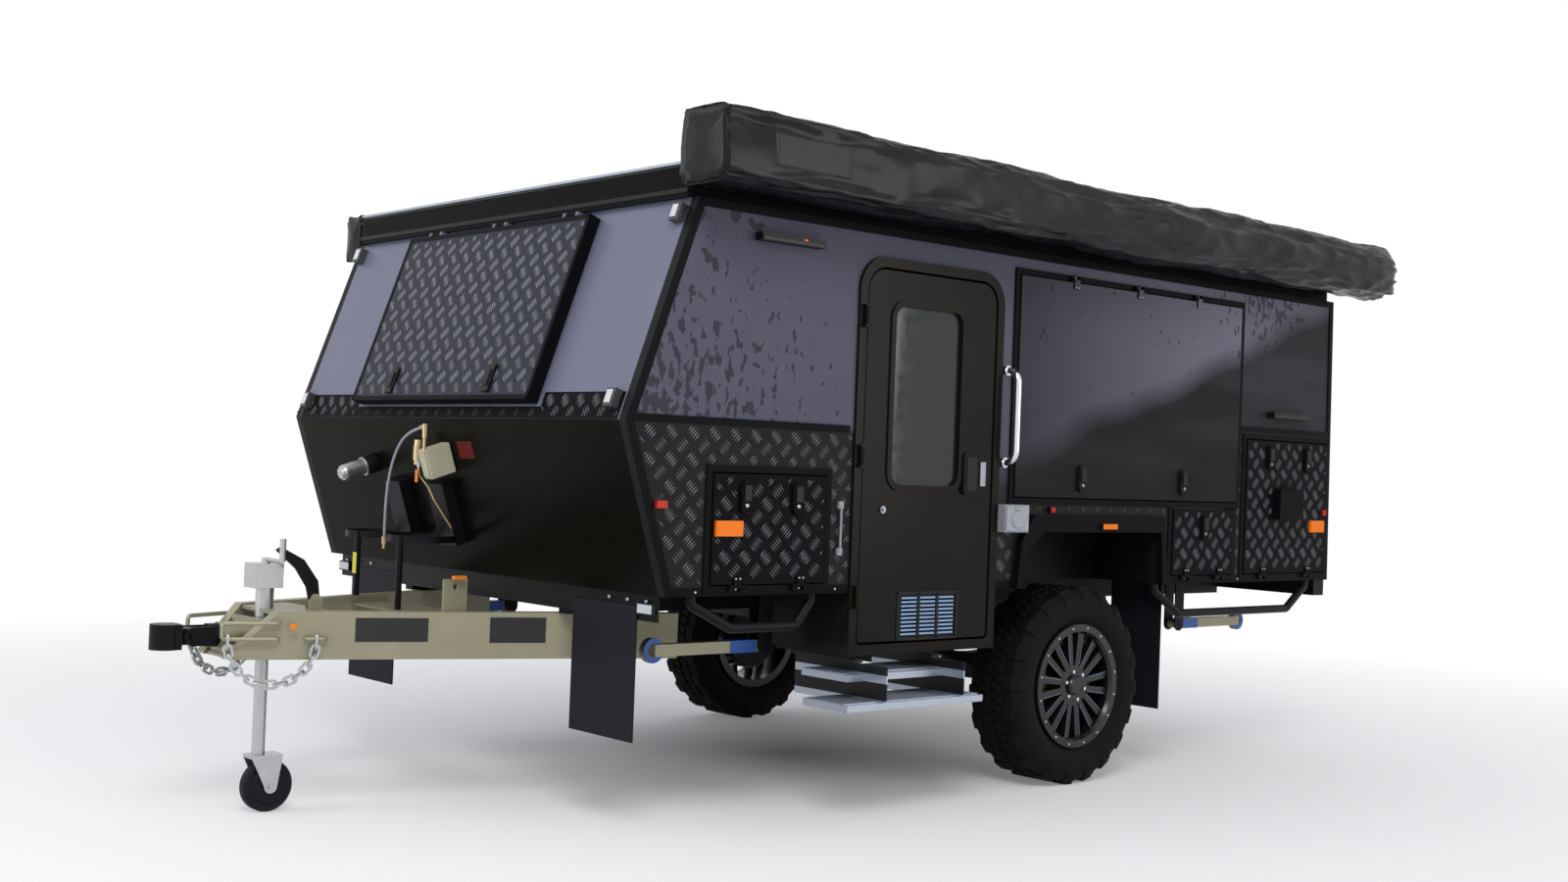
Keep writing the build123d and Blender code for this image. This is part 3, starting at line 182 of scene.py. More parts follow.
def printed_panel(name, front_colour, rear_colour, dark, plate_colour=None, edge_colour=None):
    """Grey panel with dark droplets at its front and a darker, slanting rear half.

    The tread plate that stands proud of it may have a colour, and so may the faces that don't face sideways.
    """
    nt = new_nodes(name)
    where = nt.coordinates()
    x, y, z = nt.axes(where)
    colour = nt.mix(nt.ramp(x, 0.46 - COUPLING_AHEAD, -0.96 - COUPLING_AHEAD), front_colour, rear_colour)

    def near(ahead, height, reach_x, reach_z):
        """1 at a place of the panel, 0 a reach away from it."""
        dx = nt.times(nt.math("ADD", x, COUPLING_AHEAD - ahead), 1 / reach_x)
        dz = nt.times(nt.math("ADD", z, COUPLING_HEIGHT - height), 1 / reach_z)
        square = nt.math("ADD", nt.math("POWER", dx, 2.0), nt.math("POWER", dz, 2.0))
        return nt.ramp(nt.math("SQRT", square), 1.0, 0.0)

    # A long slanting line: light above and ahead of it, dark below and behind it
    line = nt.math("ADD", z, nt.times(x, 0.34))
    line = nt.math("ADD", line, nt.times(nt.noise(where, 1.3, 3.0), 0.22))
    # Upright droplets, thick at the front lower corner, and a few large blots near the top
    drops = nt.noise(nt.mapped(where, (1.0, 1.0, 0.55)), 36.0, 2.5, 0.5)
    thick = nt.math("MAXIMUM", near(2.15, 1.36, 1.05, 0.75), near(-1.15, 1.98, 0.55, 0.35))
    drops = nt.ramp(nt.math("ADD", drops, nt.times(thick, 0.245)), 0.71, 0.73)
    blots = nt.times(near(1.93, 1.93, 0.32, 0.24), 0.17)
    blots = nt.ramp(nt.math("ADD", nt.noise(where, 8.0), blots), 0.70, 0.71)
    spatter = nt.times(nt.math("MAXIMUM", drops, blots), 0.72)
    # Long slanting sweeps that fade in the dark part
    sweeps = nt.noise(nt.mapped(where, (0.35, 1.0, 2.4), math.radians(-24)), 1.9, 2.0)
    shade = nt.mix(nt.times(nt.ramp(sweeps, 0.47, 0.60), 0.08), dark, colour)
    body = nt.mix(spatter, nt.mix(nt.ramp(line, -0.165, -0.045), shade, colour), dark)
    if plate_colour:
        body = nt.mix(nt.ramp(nt.math("ABSOLUTE", y), SIDE + 0.0005, SIDE + 0.001), body, plate_colour)
    if edge_colour:
        sideways = nt.math("ABSOLUTE", nt.axes(nt.coordinates("Normal"))["Y"])
        body = nt.mix(nt.math("LESS_THAN", sideways, 0.5), body, edge_colour)
    return nt.shade({"Base Color": body, "Roughness": nt.ramp(nt.noise(where, 5.0), -1.2, 2.4),
                     "Specular IOR Level": 0.10})


def glow(name, colour, strength):
    nt = new_nodes(name)
    uneven = nt.mix(nt.noise(nt.coordinates(), 60.0), colour, tuple(c * 0.8 for c in colour))
    return nt.shade({"Base Color": uneven, "Roughness": 0.2, "Emission Color": colour,
                     "Emission Strength": strength, "Specular IOR Level": 0.15})


# The sides' grey at the front, at the rear, and of the dark parts
GREYS = (0.084, 0.083, 0.118), (0.128, 0.122, 0.155), (0.0155, 0.0150, 0.0190)
EDGE_BLACK = (0.008, 0.008, 0.010)
PANEL = printed_panel("printed panel", *GREYS, (0.0075, 0.0075, 0.0082), EDGE_BLACK)
REAR_PANEL = printed_panel("rear panel", *GREYS)
HATCH_PANEL = printed_panel("printed hatch", (0.031, 0.030, 0.041), (0.150, 0.144, 0.186),
                            (0.0035, 0.0034, 0.0044), edge_colour=EDGE_BLACK)
LAVENDER = finish("front panel", (0.135, 0.142, 0.208), 0.35, wear=0.06, scale=3, specular=0.3)
GLOSS_BLACK = finish("dark front face", (0.0042, 0.0036, 0.0026), 0.28, wear=0.4, scale=2, specular=0.03)
TREAD = finish("black tread plate", (0.0050, 0.0050, 0.0062), 0.45, wear=0.2, scale=25, specular=0.03)
TREAD_EDGE = finish("tread bars", (0.135, 0.135, 0.155), 0.34, metallic=0.6, scale=25)
# Paler, wider copy of the tread bars for the cover: painted highlight
COVER_HIGHLIGHT_BARS = finish("cover highlight bars", (0.165, 0.170, 0.190), 0.38, metallic=0.5, scale=25)
# The cover's tread plate, lighter and bluer than the black tread plate: painted reflection of the sky
COVER_REFLECTION_PLATE = finish("cover plate reflection", (0.019, 0.021, 0.034), 0.42, wear=0.2, scale=25, specular=0.12)
TRIM = finish("black trim", (0.0050, 0.0050, 0.0060), 0.38, metallic=0.05, specular=0.03)
DOOR = finish("door moulding", (0.0080, 0.0068, 0.0046), 0.24, wear=0.1, scale=4, specular=0.08)
BLACK_STEEL = finish("black steel", (0.0065, 0.0065, 0.0080), 0.38, bump=0.08, specular=0.10)
GALVANISED = finish("galvanised steel", (0.30, 0.28, 0.19), 0.42, metallic=0.35, wear=0.14, scale=14, bump=0.06)
ZINC = finish("zinc", (0.46, 0.47, 0.48), 0.34, metallic=0.9, scale=40)
CHROME = finish("chrome", (0.70, 0.72, 0.76), 0.14, metallic=1.0, wear=0.03)
ALUMINIUM = finish("step aluminium", (0.40, 0.44, 0.52), 0.32, metallic=0.8, scale=20)
TYRE = finish("tyre rubber", (0.0068, 0.0060, 0.0064), 0.74, wear=0.3, scale=18, bump=0.25, specular=0.08)
RUBBER = finish("flap rubber", (0.0105, 0.0100, 0.0155), 0.55, bump=0.1, specular=0.10)
ALLOY = finish("black alloy", (0.010, 0.010, 0.011), 0.20, metallic=0.2)
MILLED = finish("milled edge", (0.105, 0.130, 0.170), 0.28, metallic=0.9)
DARK_GLASS = finish("tinted glass", (0.012, 0.014, 0.014), 0.05, wear=0.05, alpha=0.86)
VINYL = finish("bag vinyl", (0.0044, 0.0048, 0.0068), 0.27, wear=0.25, scale=7, bump=0.2, specular=0.18)
PLASTIC = finish("black plastic", (0.0080, 0.0080, 0.0092), 0.35, specular=0.16)
GREY_PLASTIC = finish("grey plastic", (0.30, 0.31, 0.34), 0.4)
BOARD = finish("furniture board", (0.30, 0.27, 0.23), 0.5, wear=0.2, scale=5)
BLUE = finish("blue steel", (0.010, 0.085, 0.36), 0.35)
ORANGE = finish("orange clip", (0.72, 0.20, 0.01), 0.4)
DULL_CHROME = finish("dull chrome", (0.25, 0.26, 0.28), 0.30, metallic=0.9, wear=0.08)
YELLOW = finish("yellow tag", (0.62, 0.55, 0.02), 0.45)
BEIGE = finish("beige box", (0.44, 0.42, 0.30), 0.5, wear=0.15, scale=12)
SLAT = finish("vent slats", (0.20, 0.30, 0.48), 0.35, metallic=0.3)
LABEL = finish("blank plate", (0.020, 0.020, 0.022), 0.5, wear=0.3, specular=0.3)
DULL_RED = finish("dull red plate", (0.100, 0.010, 0.008), 0.5, specular=0.1)
CANVAS = finish("roof canvas", (0.060, 0.061, 0.066), 0.80, wear=0.20, scale=45, bump=0.35, specular=0.15)
BRASS = finish("brass", (0.46, 0.36, 0.20), 0.34, metallic=0.85)
HOSE = finish("grey hose", (0.26, 0.27, 0.31), 0.45)


def wall_fitting_finish(name):
    """Dark on the wall's inside, grey where a fitting stands out from its face."""
    nt = new_nodes(name)
    where = nt.coordinates()
    dark = (0.045, 0.045, 0.050)
    outside = nt.ramp(nt.math("ABSOLUTE", nt.axes(where)["Y"]), 1.094, 1.096)
    colour = nt.mix(outside, dark, (0.30, 0.31, 0.34))
    return nt.shade({"Base Color": nt.mix(nt.times(nt.noise(where, 30.0), 0.3), colour, dark),
                     "Roughness": nt.ramp(nt.noise(where, 12.0), -0.8, 2.4)})


def solar_cells(name):
    """Dark cells between thin pale lines on the roof panels."""
    nt = new_nodes(name)
    where = nt.coordinates()
    axes = nt.axes(where)
    lines = [nt.math("LESS_THAN", nt.math("FRACT", nt.times(axes[axis], 1 / pitch)), 0.030)
             for axis, pitch in (("X", 0.137), ("Y", 0.122))]
    cells = nt.mix(nt.noise(where, 14.0), (0.010, 0.011, 0.016), (0.018, 0.020, 0.030))
    top = nt.mix(nt.math("MAXIMUM", *lines), cells, (0.12, 0.12, 0.13))
    upward = nt.math("GREATER_THAN", nt.axes(nt.new("NewGeometry").outputs["Normal"])["Z"], 0.5)
    return nt.shade({"Base Color": nt.mix(upward, (0.05, 0.05, 0.055), top), "Roughness": 0.22,
                     "Specular IOR Level": 0.3})


def step_frame(name):
    """Bright at the heights of the two treads, black on the arms and rails between them."""
    nt = new_nodes(name)
    where = nt.coordinates()
    z = nt.axes(where)["Z"]
    treads = [nt.ramp(nt.math("ABSOLUTE", nt.math("ADD", z, COUPLING_HEIGHT - middle)), 0.0145, 0.0130)
              for middle in (0.4050, 0.4900)]
    bright = nt.math("MAXIMUM", *treads)
    pale = nt.mix(nt.noise(where, 20.0), (0.35, 0.39, 0.46), (0.45, 0.49, 0.58))
    return nt.shade({"Base Color": nt.mix(bright, (0.010, 0.010, 0.012), pale), "Roughness": 0.34,
                     "Metallic": nt.times(bright, 0.8), "Specular IOR Level": 0.2})


STEP_FRAME = step_frame("step frame")
SOLAR = solar_cells("roof cells")
WALL_FITTINGS = wall_fitting_finish("wall fittings")
AMBER_LENS = glow("amber lens", (0.90, 0.19, 0.0), 0.05)
RED_LENS = glow("red lens", (0.50, 0.02, 0.010), 0.04)
WHITE_LENS = glow("white lens", (0.55, 0.57, 0.62), 0.04)
BAR_LENS = glow("bar lens", (0.030, 0.030, 0.026), 0.005)

# Finishes of the CAD nodes. Nodes that aren't named here are black steel
node_finishes = (
    (PANEL, "left_wall right_wall"), (HATCH_PANEL, "galley_hatch"), (REAR_PANEL, "rear_wall"),
    (LAVENDER, "front_upper_wall"), (GLOSS_BLACK, "front_lower_wall"),
    (TREAD, "window_cover fridge_hatch front_locker_left front_locker_right"),
    (TREAD, "rear_locker_left rear_locker_right"),
    (TRIM, "left_trims right_trims roof_shell"), (DOOR, "door_frame entry_door"),
    (DARK_GLASS, "door_glass windows"), (BOARD, "furniture"), (SOLAR, "solar_panels"),
    (GALVANISED, "drawbar_left drawbar_right nose_housing"),
    (GALVANISED, "steady_front_left steady_front_right steady_rear_left steady_rear_right"),
    (ZINC, "jockey_sleeve jockey_leg jockey_fork safety_chains gas_fittings"),
    (TYRE, "left_tyre right_tyre spare_tyre"), (ALLOY, "left_rim right_rim spare_rim"),
    (RUBBER, "jockey_wheel mudflaps"), (VINYL, "awning_bags"), (PLASTIC, "water_tanks lamps"),
    (STEP_FRAME, "entry_step"), (CHROME, "grab_handle"), (HOSE, "gas_hose"), (WALL_FITTINGS, "wall_fittings"),
)
node_materials = {name: material for material, names in node_finishes for name in names.split()}
for node_name, node in nodes.items():
    node.data.materials.clear()
    node.data.materials.append(node_materials.get(node_name, BLACK_STEEL))


# Piece helpers
BOX_FACES = ((0, 2, 3, 1), (4, 5, 7, 6), (0, 1, 5, 4), (2, 6, 7, 3), (0, 4, 6, 2), (1, 3, 7, 5))


def new_object(name, data):
    made = bpy.data.objects.new(name, data)
    bpy.context.collection.objects.link(made)
    return made


def ring_faces(rows, around, closed=False):
    """Quads between neighbouring rings of points. The last ring joins the first where they close."""
    faces = []
    for i in range(rows if closed else rows - 1):
        for j in range(around):
            k, m = (i + 1) % rows, (j + 1) % around
            faces.append((i * around + j, i * around + m, k * around + m, k * around + j))
    return faces


def span(middle, half):
    return middle - half, middle + half


class Piece:
    """Gathers boxes, rods and plates into one mesh that rides on a body."""

    def __init__(self, name, material, body=CHASSIS, smooth=False):
        self.name, self.material, self.body, self.smooth = name, material, body, smooth
        self.points, self.faces = [], []

    def add(self, points, faces):
        first = len(self.points)
        self.points += [Vector(p) for p in points]
        self.faces += [tuple(first + i for i in face) for face in faces]
        return self

    def box(self, ahead, y, height):
        return self.add([at(a, b, c) for c in height for b in y for a in ahead], BOX_FACES)

    def rod(self, start, end, radius, sides, far_radius=None):
        far_radius = radius if far_radius is None else far_radius
        axis = (end - start).normalized()
        u = axis.orthogonal().normalized()
        v = axis.cross(u)
        turns = [2 * math.pi * i / sides for i in range(sides)]
        points = [centre + u * (r * math.cos(turn)) + v * (r * math.sin(turn))
                  for centre, r in ((start, radius), (end, far_radius)) for turn in turns]
        ends = [tuple(reversed(range(sides))), tuple(range(sides, 2 * sides))]
        return self.add(points, ring_faces(2, sides) + ends)

    def plate(self, origin, u, v, width, length, thickness):
        """Thin box on a plane through origin, its sides along u and v."""
        n = u.cross(v)
        corners = [origin + u * i + v * j + n * k for k in (0, thickness)
                   for j in (-length / 2, length / 2) for i in (-width / 2, width / 2)]
        return self.add(corners, BOX_FACES)

    def build(self, bevel=0.0):
        mesh = bpy.data.meshes.new(self.name)
        mesh.from_pydata(self.points, [], self.faces)
        mesh.validate()
        mesh.update()
        if self.smooth:
            mesh.shade_smooth()
        mesh.materials.append(self.material)
        piece = new_object(self.name, mesh)
        if bevel:
            rounding = piece.modifiers.new("rounding", "BEVEL")
            rounding.width = bevel
            rounding.segments = 2
            rounding.limit_method = "ANGLE"
        if self.body:
            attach(piece, self.body)
        return piece


ALONG = Vector((1, 0, 0))
ACROSS = Vector((0, 1, 0))
UP = Vector((0, 0, 1))


# Tread plate
BAR_PITCH = 0.086
BAR_HALF = 0.0225
BAR_SPACING = 0.0098
BAR_WIDTH = 0.0050
BAR_RISE = 0.0016
FACE_THICKNESS = 0.0008


def tread_bars(name, body, origin, u, v, n, inside, width, length,
               leaning=(0, 1), material=TREAD_EDGE, bar_width=BAR_WIDTH):
    """Groups of five slim bars where inside(i, j) holds, leaning the other way in every second row."""
    piece = Piece(name, material, body)
    for row in range(int(length / BAR_PITCH * 2) + 2):
        turned = row % 2
        if turned not in leaning:
            continue
        direction = Vector((1, 1 if turned else -1)).normalized()
        aside = Vector((-direction.y, direction.x))
        for column in range(int(width / BAR_PITCH) + 2):
            group = Vector(((column + 0.5 * turned) * BAR_PITCH, row * BAR_PITCH / 2))
            for bar in range(-2, 3):
                middle = group + aside * (bar * BAR_SPACING)
                # A bar that the plate's edge cuts is shorter
                for share in (1.0, 0.75, 0.5, 0.0):
                    half = BAR_HALF * (1 - 0.08 * abs(bar)) * share
                    tips = (middle - direction * half, middle + direction * half)
                    if all(inside(p.x, p.y) for p in tips):
                        break
                if not share or not inside(*middle):
                    continue
                flanks = (middle + aside * (bar_width / 2), middle - aside * (bar_width / 2))
                crest = (middle - direction * (half * 0.6), middle + direction * (half * 0.6))
                points = [origin + u * p.x + v * p.y for p in (tips[0], flanks[0], tips[1], flanks[1])]
                points += [origin + u * p.x + v * p.y + n * BAR_RISE for p in crest]
                piece.add(points, ((0, 4, 1), (1, 4, 5), (1, 5, 2), (2, 5, 3), (3, 5, 4), (3, 4, 0)))
    piece = piece.build()
    if n.dot(u.cross(v)) < 0:
        piece.data.flip_normals()


def in_box(ahead, height, margin):
    return lambda a, h: (ahead[0] - margin < a < ahead[1] + margin
                         and height[0] - margin < h < height[1] + margin)


NOSE_LEAN = (NOSE_KNEE[0] - NOSE_FOOT[0]) / (NOSE_KNEE[1] - NOSE_FOOT[1])


def nose_edge(height):
    """How far ahead the body's lower front edge lies at a height."""
    return NOSE_FOOT[0] + (height - NOSE_FOOT[1]) * NOSE_LEAN


# Leaves: side, from and to ahead of the axle, from and to above the ground, latches along them and their height
FRONT_LOCKER = ((1.411, 1.895), (0.812, 1.166), ((0.27, 0.73), 1.091))
REAR_LOCKER = ((-1.660, -1.035), (0.812, 1.385), ((0.27, 0.73), 1.310))
tread_leaves = (
    ("front_locker_left", 1, *FRONT_LOCKER),
    ("front_locker_right", -1, *FRONT_LOCKER),
    ("fridge_hatch", 1, (-0.945, -0.526), (0.812, 1.082), ((0.5,), 1.007)),
    ("rear_locker_left", 1, *REAR_LOCKER),
    ("rear_locker_right", -1, *REAR_LOCKER),
)
all_leaves = tread_leaves + (("galley_hatch", 1, (-0.960, 0.460), (1.116, 1.940), ((0.27, 0.73), 1.191)),)
plate_areas = (((1.285, 2.243), (0.775, 1.318)), ((-1.704, -0.985), (0.775, 1.418)),
               ((-0.985, 0.550), (0.775, 1.088)))
FRAME_MARGIN = 0.026
PLATE_START = (-1.72, 0.775)


def on_side_plate(side):
    blocked = [in_box(ahead, height, FRAME_MARGIN) for _, s, ahead, height, _ in all_leaves if s == side]
    areas = [in_box(ahead, height, -0.002) for ahead, height in plate_areas]

    def inside(i, j):
        a, h = i + PLATE_START[0], j + PLATE_START[1]
        at_arch = -0.486 < a < 0.456 and h < 1.056
        if at_arch or h < 0.806 or not -1.672 <= a <= nose_edge(h) - 0.034:
            return False
        if any(block(a, h) for block in blocked):
            return False
        return any(area(a, h) for area in areas)

    return inside


for side, label in ((1, "left"), (-1, "right")):
    start = at(PLATE_START[0], side * (SIDE + 0.003), PLATE_START[1])
    tread_bars(f"{label}_tread_bars", CHASSIS, start, ALONG, UP, ACROSS * side, on_side_plate(side), 4.0, 0.66)


def on_leaf(ahead, height, shares, latch_height, extra=None):
    width = ahead[1] - ahead[0]
    latches = [(share * width, latch_height - height[0]) for share in shares]

    def inside(i, j):
        if not (0.006 < i < width - 0.006 and 0.012 < j < height[1] - height[0] - 0.006):
            return False
        if extra and extra(ahead[0] + i, height[0] + j):
            return False
        return not any(abs(i - a) < 0.030 and abs(j - h) < 0.058 for a, h in latches)

    return inside


for leaf_name, side, ahead, height, (shares, latch_height) in tread_leaves:
    extra = in_box((-1.420, -1.240), (1.046, 1.177), 0.004) if leaf_name == "rear_locker_left" else None
    start = at(ahead[0], side * (SIDE + 0.012), height[0])
    tread_bars(f"{leaf_name}_tread_bars", f"{leaf_name}_body", start, ALONG, UP, ACROSS * side,
               on_leaf(ahead, height, shares, latch_height, extra),
               ahead[1] - ahead[0], height[1] - height[0])

# The cover over the front window lies along the slope of the upper front wall
slope_top = at(ROOF_EDGE[0], 0, ROOF_EDGE[1])
slope_down = (at(NOSE_KNEE[0], 0, NOSE_KNEE[1]) - slope_top).normalized()
slope_out = Vector((-slope_down.z, 0, slope_down.x))


def on_front(down, y, out=0.0):
    """Point off the upper front wall's face, a way down from the roof's edge."""
    return slope_top + slope_out * out + slope_down * down + ACROSS * y


COVER_WIDTH, COVER_LENGTH, COVER_OUT = 1.2, 0.668, 0.045
cover_start = on_front(0.706, -0.600, COVER_OUT)


def on_slope(width, length, margin, first_row=0.0):
    return lambda i, j: margin < i < width - margin and margin < j + first_row < length - margin


# The cover's face carries the painted sky reflection
Piece("cover_face", COVER_REFLECTION_PLATE, COVER).plate(
    cover_start + ACROSS * 0.600 - slope_down * 0.334, ACROSS, -slope_down, 1.198, 0.666,
    FACE_THICKNESS).build()
# On the cover the bars that lean one way are paler and wider than the others: a painted highlight where they
# catch the light, reading as pale lozenges
for name, leaning, material, bar_width in (
        ("cover_highlight_bars", (0,), COVER_HIGHLIGHT_BARS, 0.0085), ("cover_tread_bars", (1,), TREAD_EDGE, BAR_WIDTH)):
    tread_bars(name, COVER, cover_start + slope_out * FACE_THICKNESS, ACROSS, -slope_down,
               slope_out, on_slope(COVER_WIDTH, COVER_LENGTH, 0.018), COVER_WIDTH, COVER_LENGTH,
               leaning, material, bar_width)


# Soft bags
BAG_MIDDLE = (1.2425, 2.1695)
SEAM_STEPS = 40


def rounded_square(turn, power):
    """Point of a rounded square that reaches 1 from its middle."""
    c, s = math.cos(turn), math.sin(turn)
    return math.copysign(abs(c) ** power, c), math.copysign(abs(s) ** power, s)


def bag(name, rear, front, middle_y, middle_z, half_y, half_z, tail, seed):
    """Zipped vinyl bag round a rolled awning: square at its front, rounder and puckered at its tail."""
    length = front - rear
    rings = int(length / 0.014)
    around = 72
    points = []
    for i in range(rings + 1):
        share = i / rings
        along = rear + share * length
        square = 2.6 + 4.0 * share ** 2
        shrink = 1.0
        if along < rear + tail:
            near_end = (along - rear) / tail
            shrink = 0.62 + 0.38 * math.sin(near_end * math.pi / 2) ** 0.8
        for j in range(around):
            turn = 2 * math.pi * j / around
            c, s = math.cos(turn), math.sin(turn)
            u, v = rounded_square(turn, 2 / square)
            slack = noise.fractal(Vector((along * 1.3 + seed, c * 0.9, s * 0.9)), 0.9, 2.0, 4)
            folds = noise.noise(Vector((along * 2.1 + seed, turn * 2.4, 0.3)))
            ridges = abs(noise.noise(Vector((along * 5.0 + 3 * s, turn * 3.5 - along * 1.5, seed))))
            depth = 0.014 * slack + 0.012 * folds + (0.020 - 0.008 * share) * ridges
            if along < rear + 2 * tail:
                pucker = 1 - (along - rear) / (2 * tail)
                depth += pucker * 0.026 * abs(math.sin(turn * 6 + 9 * along + 3 * slack))
            sag = 0.006 * (1 - square / 6.6) * (1 - s)
            y = middle_y + (half_y - 0.012) * u * shrink - u * depth
            z = middle_z + (half_z - 0.010) * v * (0.45 + 0.55 * shrink) - v * depth - sag
            points.append(at(along, y, z))
    piece = Piece(name, VINYL, ROOF, smooth=True).add(points, ring_faces(rings + 1, around))
    for base, outward in ((0, -1), (rings * around, 1)):
        # End panel: rings that close towards the middle and bulge a little
        edge = points[base:base + around]
        centre = sum(edge, Vector()) / around
        previous = range(base, base + around)
        for step in (0.75, 0.5, 0.25):
            bulge = Vector((outward * 0.010 * (1 - step), 0, 0))
            current = range(len(piece.points), len(piece.points) + around)
            piece.add([centre.lerp(point, step) + bulge for point in edge], ())
            for j in range(around):
                k = (j + 1) % around
                piece.faces.append((previous[j], previous[k], current[k], current[j])[::outward])
            previous = current
        piece.faces.append(tuple(previous[::outward]))
    return piece.build()


long_bag = bag("long_bag", -1.895, 2.085, *BAG_MIDDLE, 0.1225, 0.1275, 0.10, 1.7)
short_bag = bag("short_bag", 0.105, 1.985, -1.190, 2.068, 0.070, 0.100, 0.06, 8.2)
for soft in (long_bag, short_bag):
    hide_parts("awning_bags")
    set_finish(soft, "awning_vinyl")

piping = Piece("bag_piping", VINYL, ROOF, smooth=True)
seam = []
for j in range(SEAM_STEPS):
    u, v = rounded_square(2 * math.pi * j / SEAM_STEPS, 0.32)
    seam.append(at(2.078, BAG_MIDDLE[0] + 0.110 * u, BAG_MIDDLE[1] + 0.117 * v))
for start, end in zip(seam, seam[1:] + seam[:1]):
    piping.rod(start, end, 0.005, 8)
piping.build()


# Tyres and wheels
TYRE_STEPS = 40
tyre_profile = ((0.2187, 0.091), (0.236, 0.1005), (0.246, 0.104), (0.258, 0.114), (0.275, 0.124),
                (0.300, 0.1295), (0.325, 0.1275), (0.345, 0.121), (0.359, 0.1135), (0.367, 0.107),
                *((0.373, y) for y in (0.098, 0.084, 0.070, 0.055, 0.053, 0.046, 0.034, 0.022, 0.010, 0.004)))
# Radii of a lug's top, and of where a lug is full and where it starts on the side
TREAD_TOP, CROWN, SHOULDER = 0.3835, 0.372, 0.343


def tread_height(side, turn, radius, y):
    """Radius and distance of a tyre point with its lug or block."""
    step = turn / (2 * math.pi) * TYRE_STEPS
    place = step % 1.0
    on_lug = (int(step) % 2 == 0) == (side == 1) and 0.04 < place < 0.96
    if on_lug and y >= 0.0545:
        if radius >= CROWN:
            groove = 0.0035 if 0.46 < place < 0.54 and y > 0.065 else 0.0
            return TREAD_TOP - groove, min(y * 1.06, 0.108)
        if radius > SHOULDER:
            share = (radius - SHOULDER) / (CROWN - SHOULDER)
            return radius + 0.010 * share, y + 0.009 * math.sin(math.pi * min(1.0, share + 0.25))
    if y <= 0.046 and radius >= CROWN:
        skew = (step * 1.5 + (y * 14 if side == 1 else -y * 14)) % 1.0
        if 0.14 < skew < 0.90 and y > 0.0045:
            return TREAD_TOP, y
    if 0.270 < radius < 0.340:
        return radius, y + 0.0008 * math.sin(radius * 700)
    return radius, y


def tyre(prefix, body, hub, steps=480):
    profile = [(r, y, 1) for r, y in tyre_profile] + [(r, y, -1) for r, y in tyre_profile[::-1]]
    points = []
    for i in range(steps):
        turn = 2 * math.pi * (i + 0.5) / steps
        for r, y, side in profile:
            radius, out = tread_height(side, turn, r, y)
            points.append(hub @ Vector((radius * math.cos(turn), side * out, radius * math.sin(turn))))
    faces = ring_faces(steps, len(profile), closed=True)
    made = Piece(f"{prefix}_tread_tyre", TYRE, body).add(points, faces).build()
    made.data.shade_smooth()
    made.data.set_sharp_from_angle(angle=math.radians(32))
    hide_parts(f"{prefix}_tyre")
    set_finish(made, "tyre_rubber")


def wheel_details(prefix, body, hub):
    """Ring bolts, milled spoke edges, nuts and the cap of one wheel."""
    bolts = Piece(f"{prefix}_ring_bolts", CHROME, body)
    for count, first, circle, depth, height, *sizes in (
            (16, 0.5, 0.227, 0.118, 0.004, 0.0048, 8, 0.0034),
            (6, 0.25, 0.056, 0.096, 0.012, 0.0085, 6, 0.007)):
        for i in range(count):
            turn = 2 * math.pi * (i + first) / count
            spot = Vector((circle * math.cos(turn), depth, circle * math.sin(turn)))
            bolts.rod(hub @ spot, hub @ (spot + ACROSS * height), *sizes)
    bolts.build()
    edges = Piece(f"{prefix}_milled_edges", MILLED, body)
    for i in range(8):
        turn = 2 * math.pi * i / 8
        cos, sin = math.cos(turn), math.sin(turn)
        for s in (1, -1):
            ends = [Vector((r * cos + s * w * sin, 0.0965, r * sin - s * w * cos))
                    for r, w in ((0.082, 0.0275), (0.202, 0.0445))]
            aside = (ends[1] - ends[0]).normalized().cross(ACROSS) * 0.0022
            quad = [ends[0] - aside, ends[1] - aside, ends[1] + aside, ends[0] + aside]
            lifted = [p + ACROSS * 0.0012 for p in quad]
            edges.add([hub @ p for p in quad + lifted],
                      ((0, 1, 2, 3), (7, 6, 5, 4), (0, 4, 5, 1), (1, 5, 6, 2), (2, 6, 7, 3), (3, 7, 4, 0)))
    edges.build()
    Piece(f"{prefix}_cap", ALLOY, body).rod(
        hub @ Vector((0, 0.106, 0)), hub @ Vector((0, 0.112, 0)), 0.037, 32, 0.033).build()


for prefix, body, centre, turn in (
        ("left", "wheel_left", at(0, HALF_TRACK, AXLE_HEIGHT), 0.0),
        ("right", "wheel_right", at(0, -HALF_TRACK, AXLE_HEIGHT), math.pi),
        ("spare", CHASSIS, at(-1.854, 0, 1.240), math.pi / 2)):
    wheel_frame = Matrix.Translation(centre) @ Matrix.Rotation(turn, 4, "Z")
    tyre(prefix, body, wheel_frame)
    wheel_details(prefix, body, wheel_frame)


# Lenses and small fittings
def beyond(side, near, to):
    """From and to across the trailer, given outwards from the side wall's face."""
    return sorted((side * (SIDE + near), side * (SIDE + to)))


FRONT_LEAF, REAR_LEAF = "front_locker_left_body", "rear_locker_left_body"
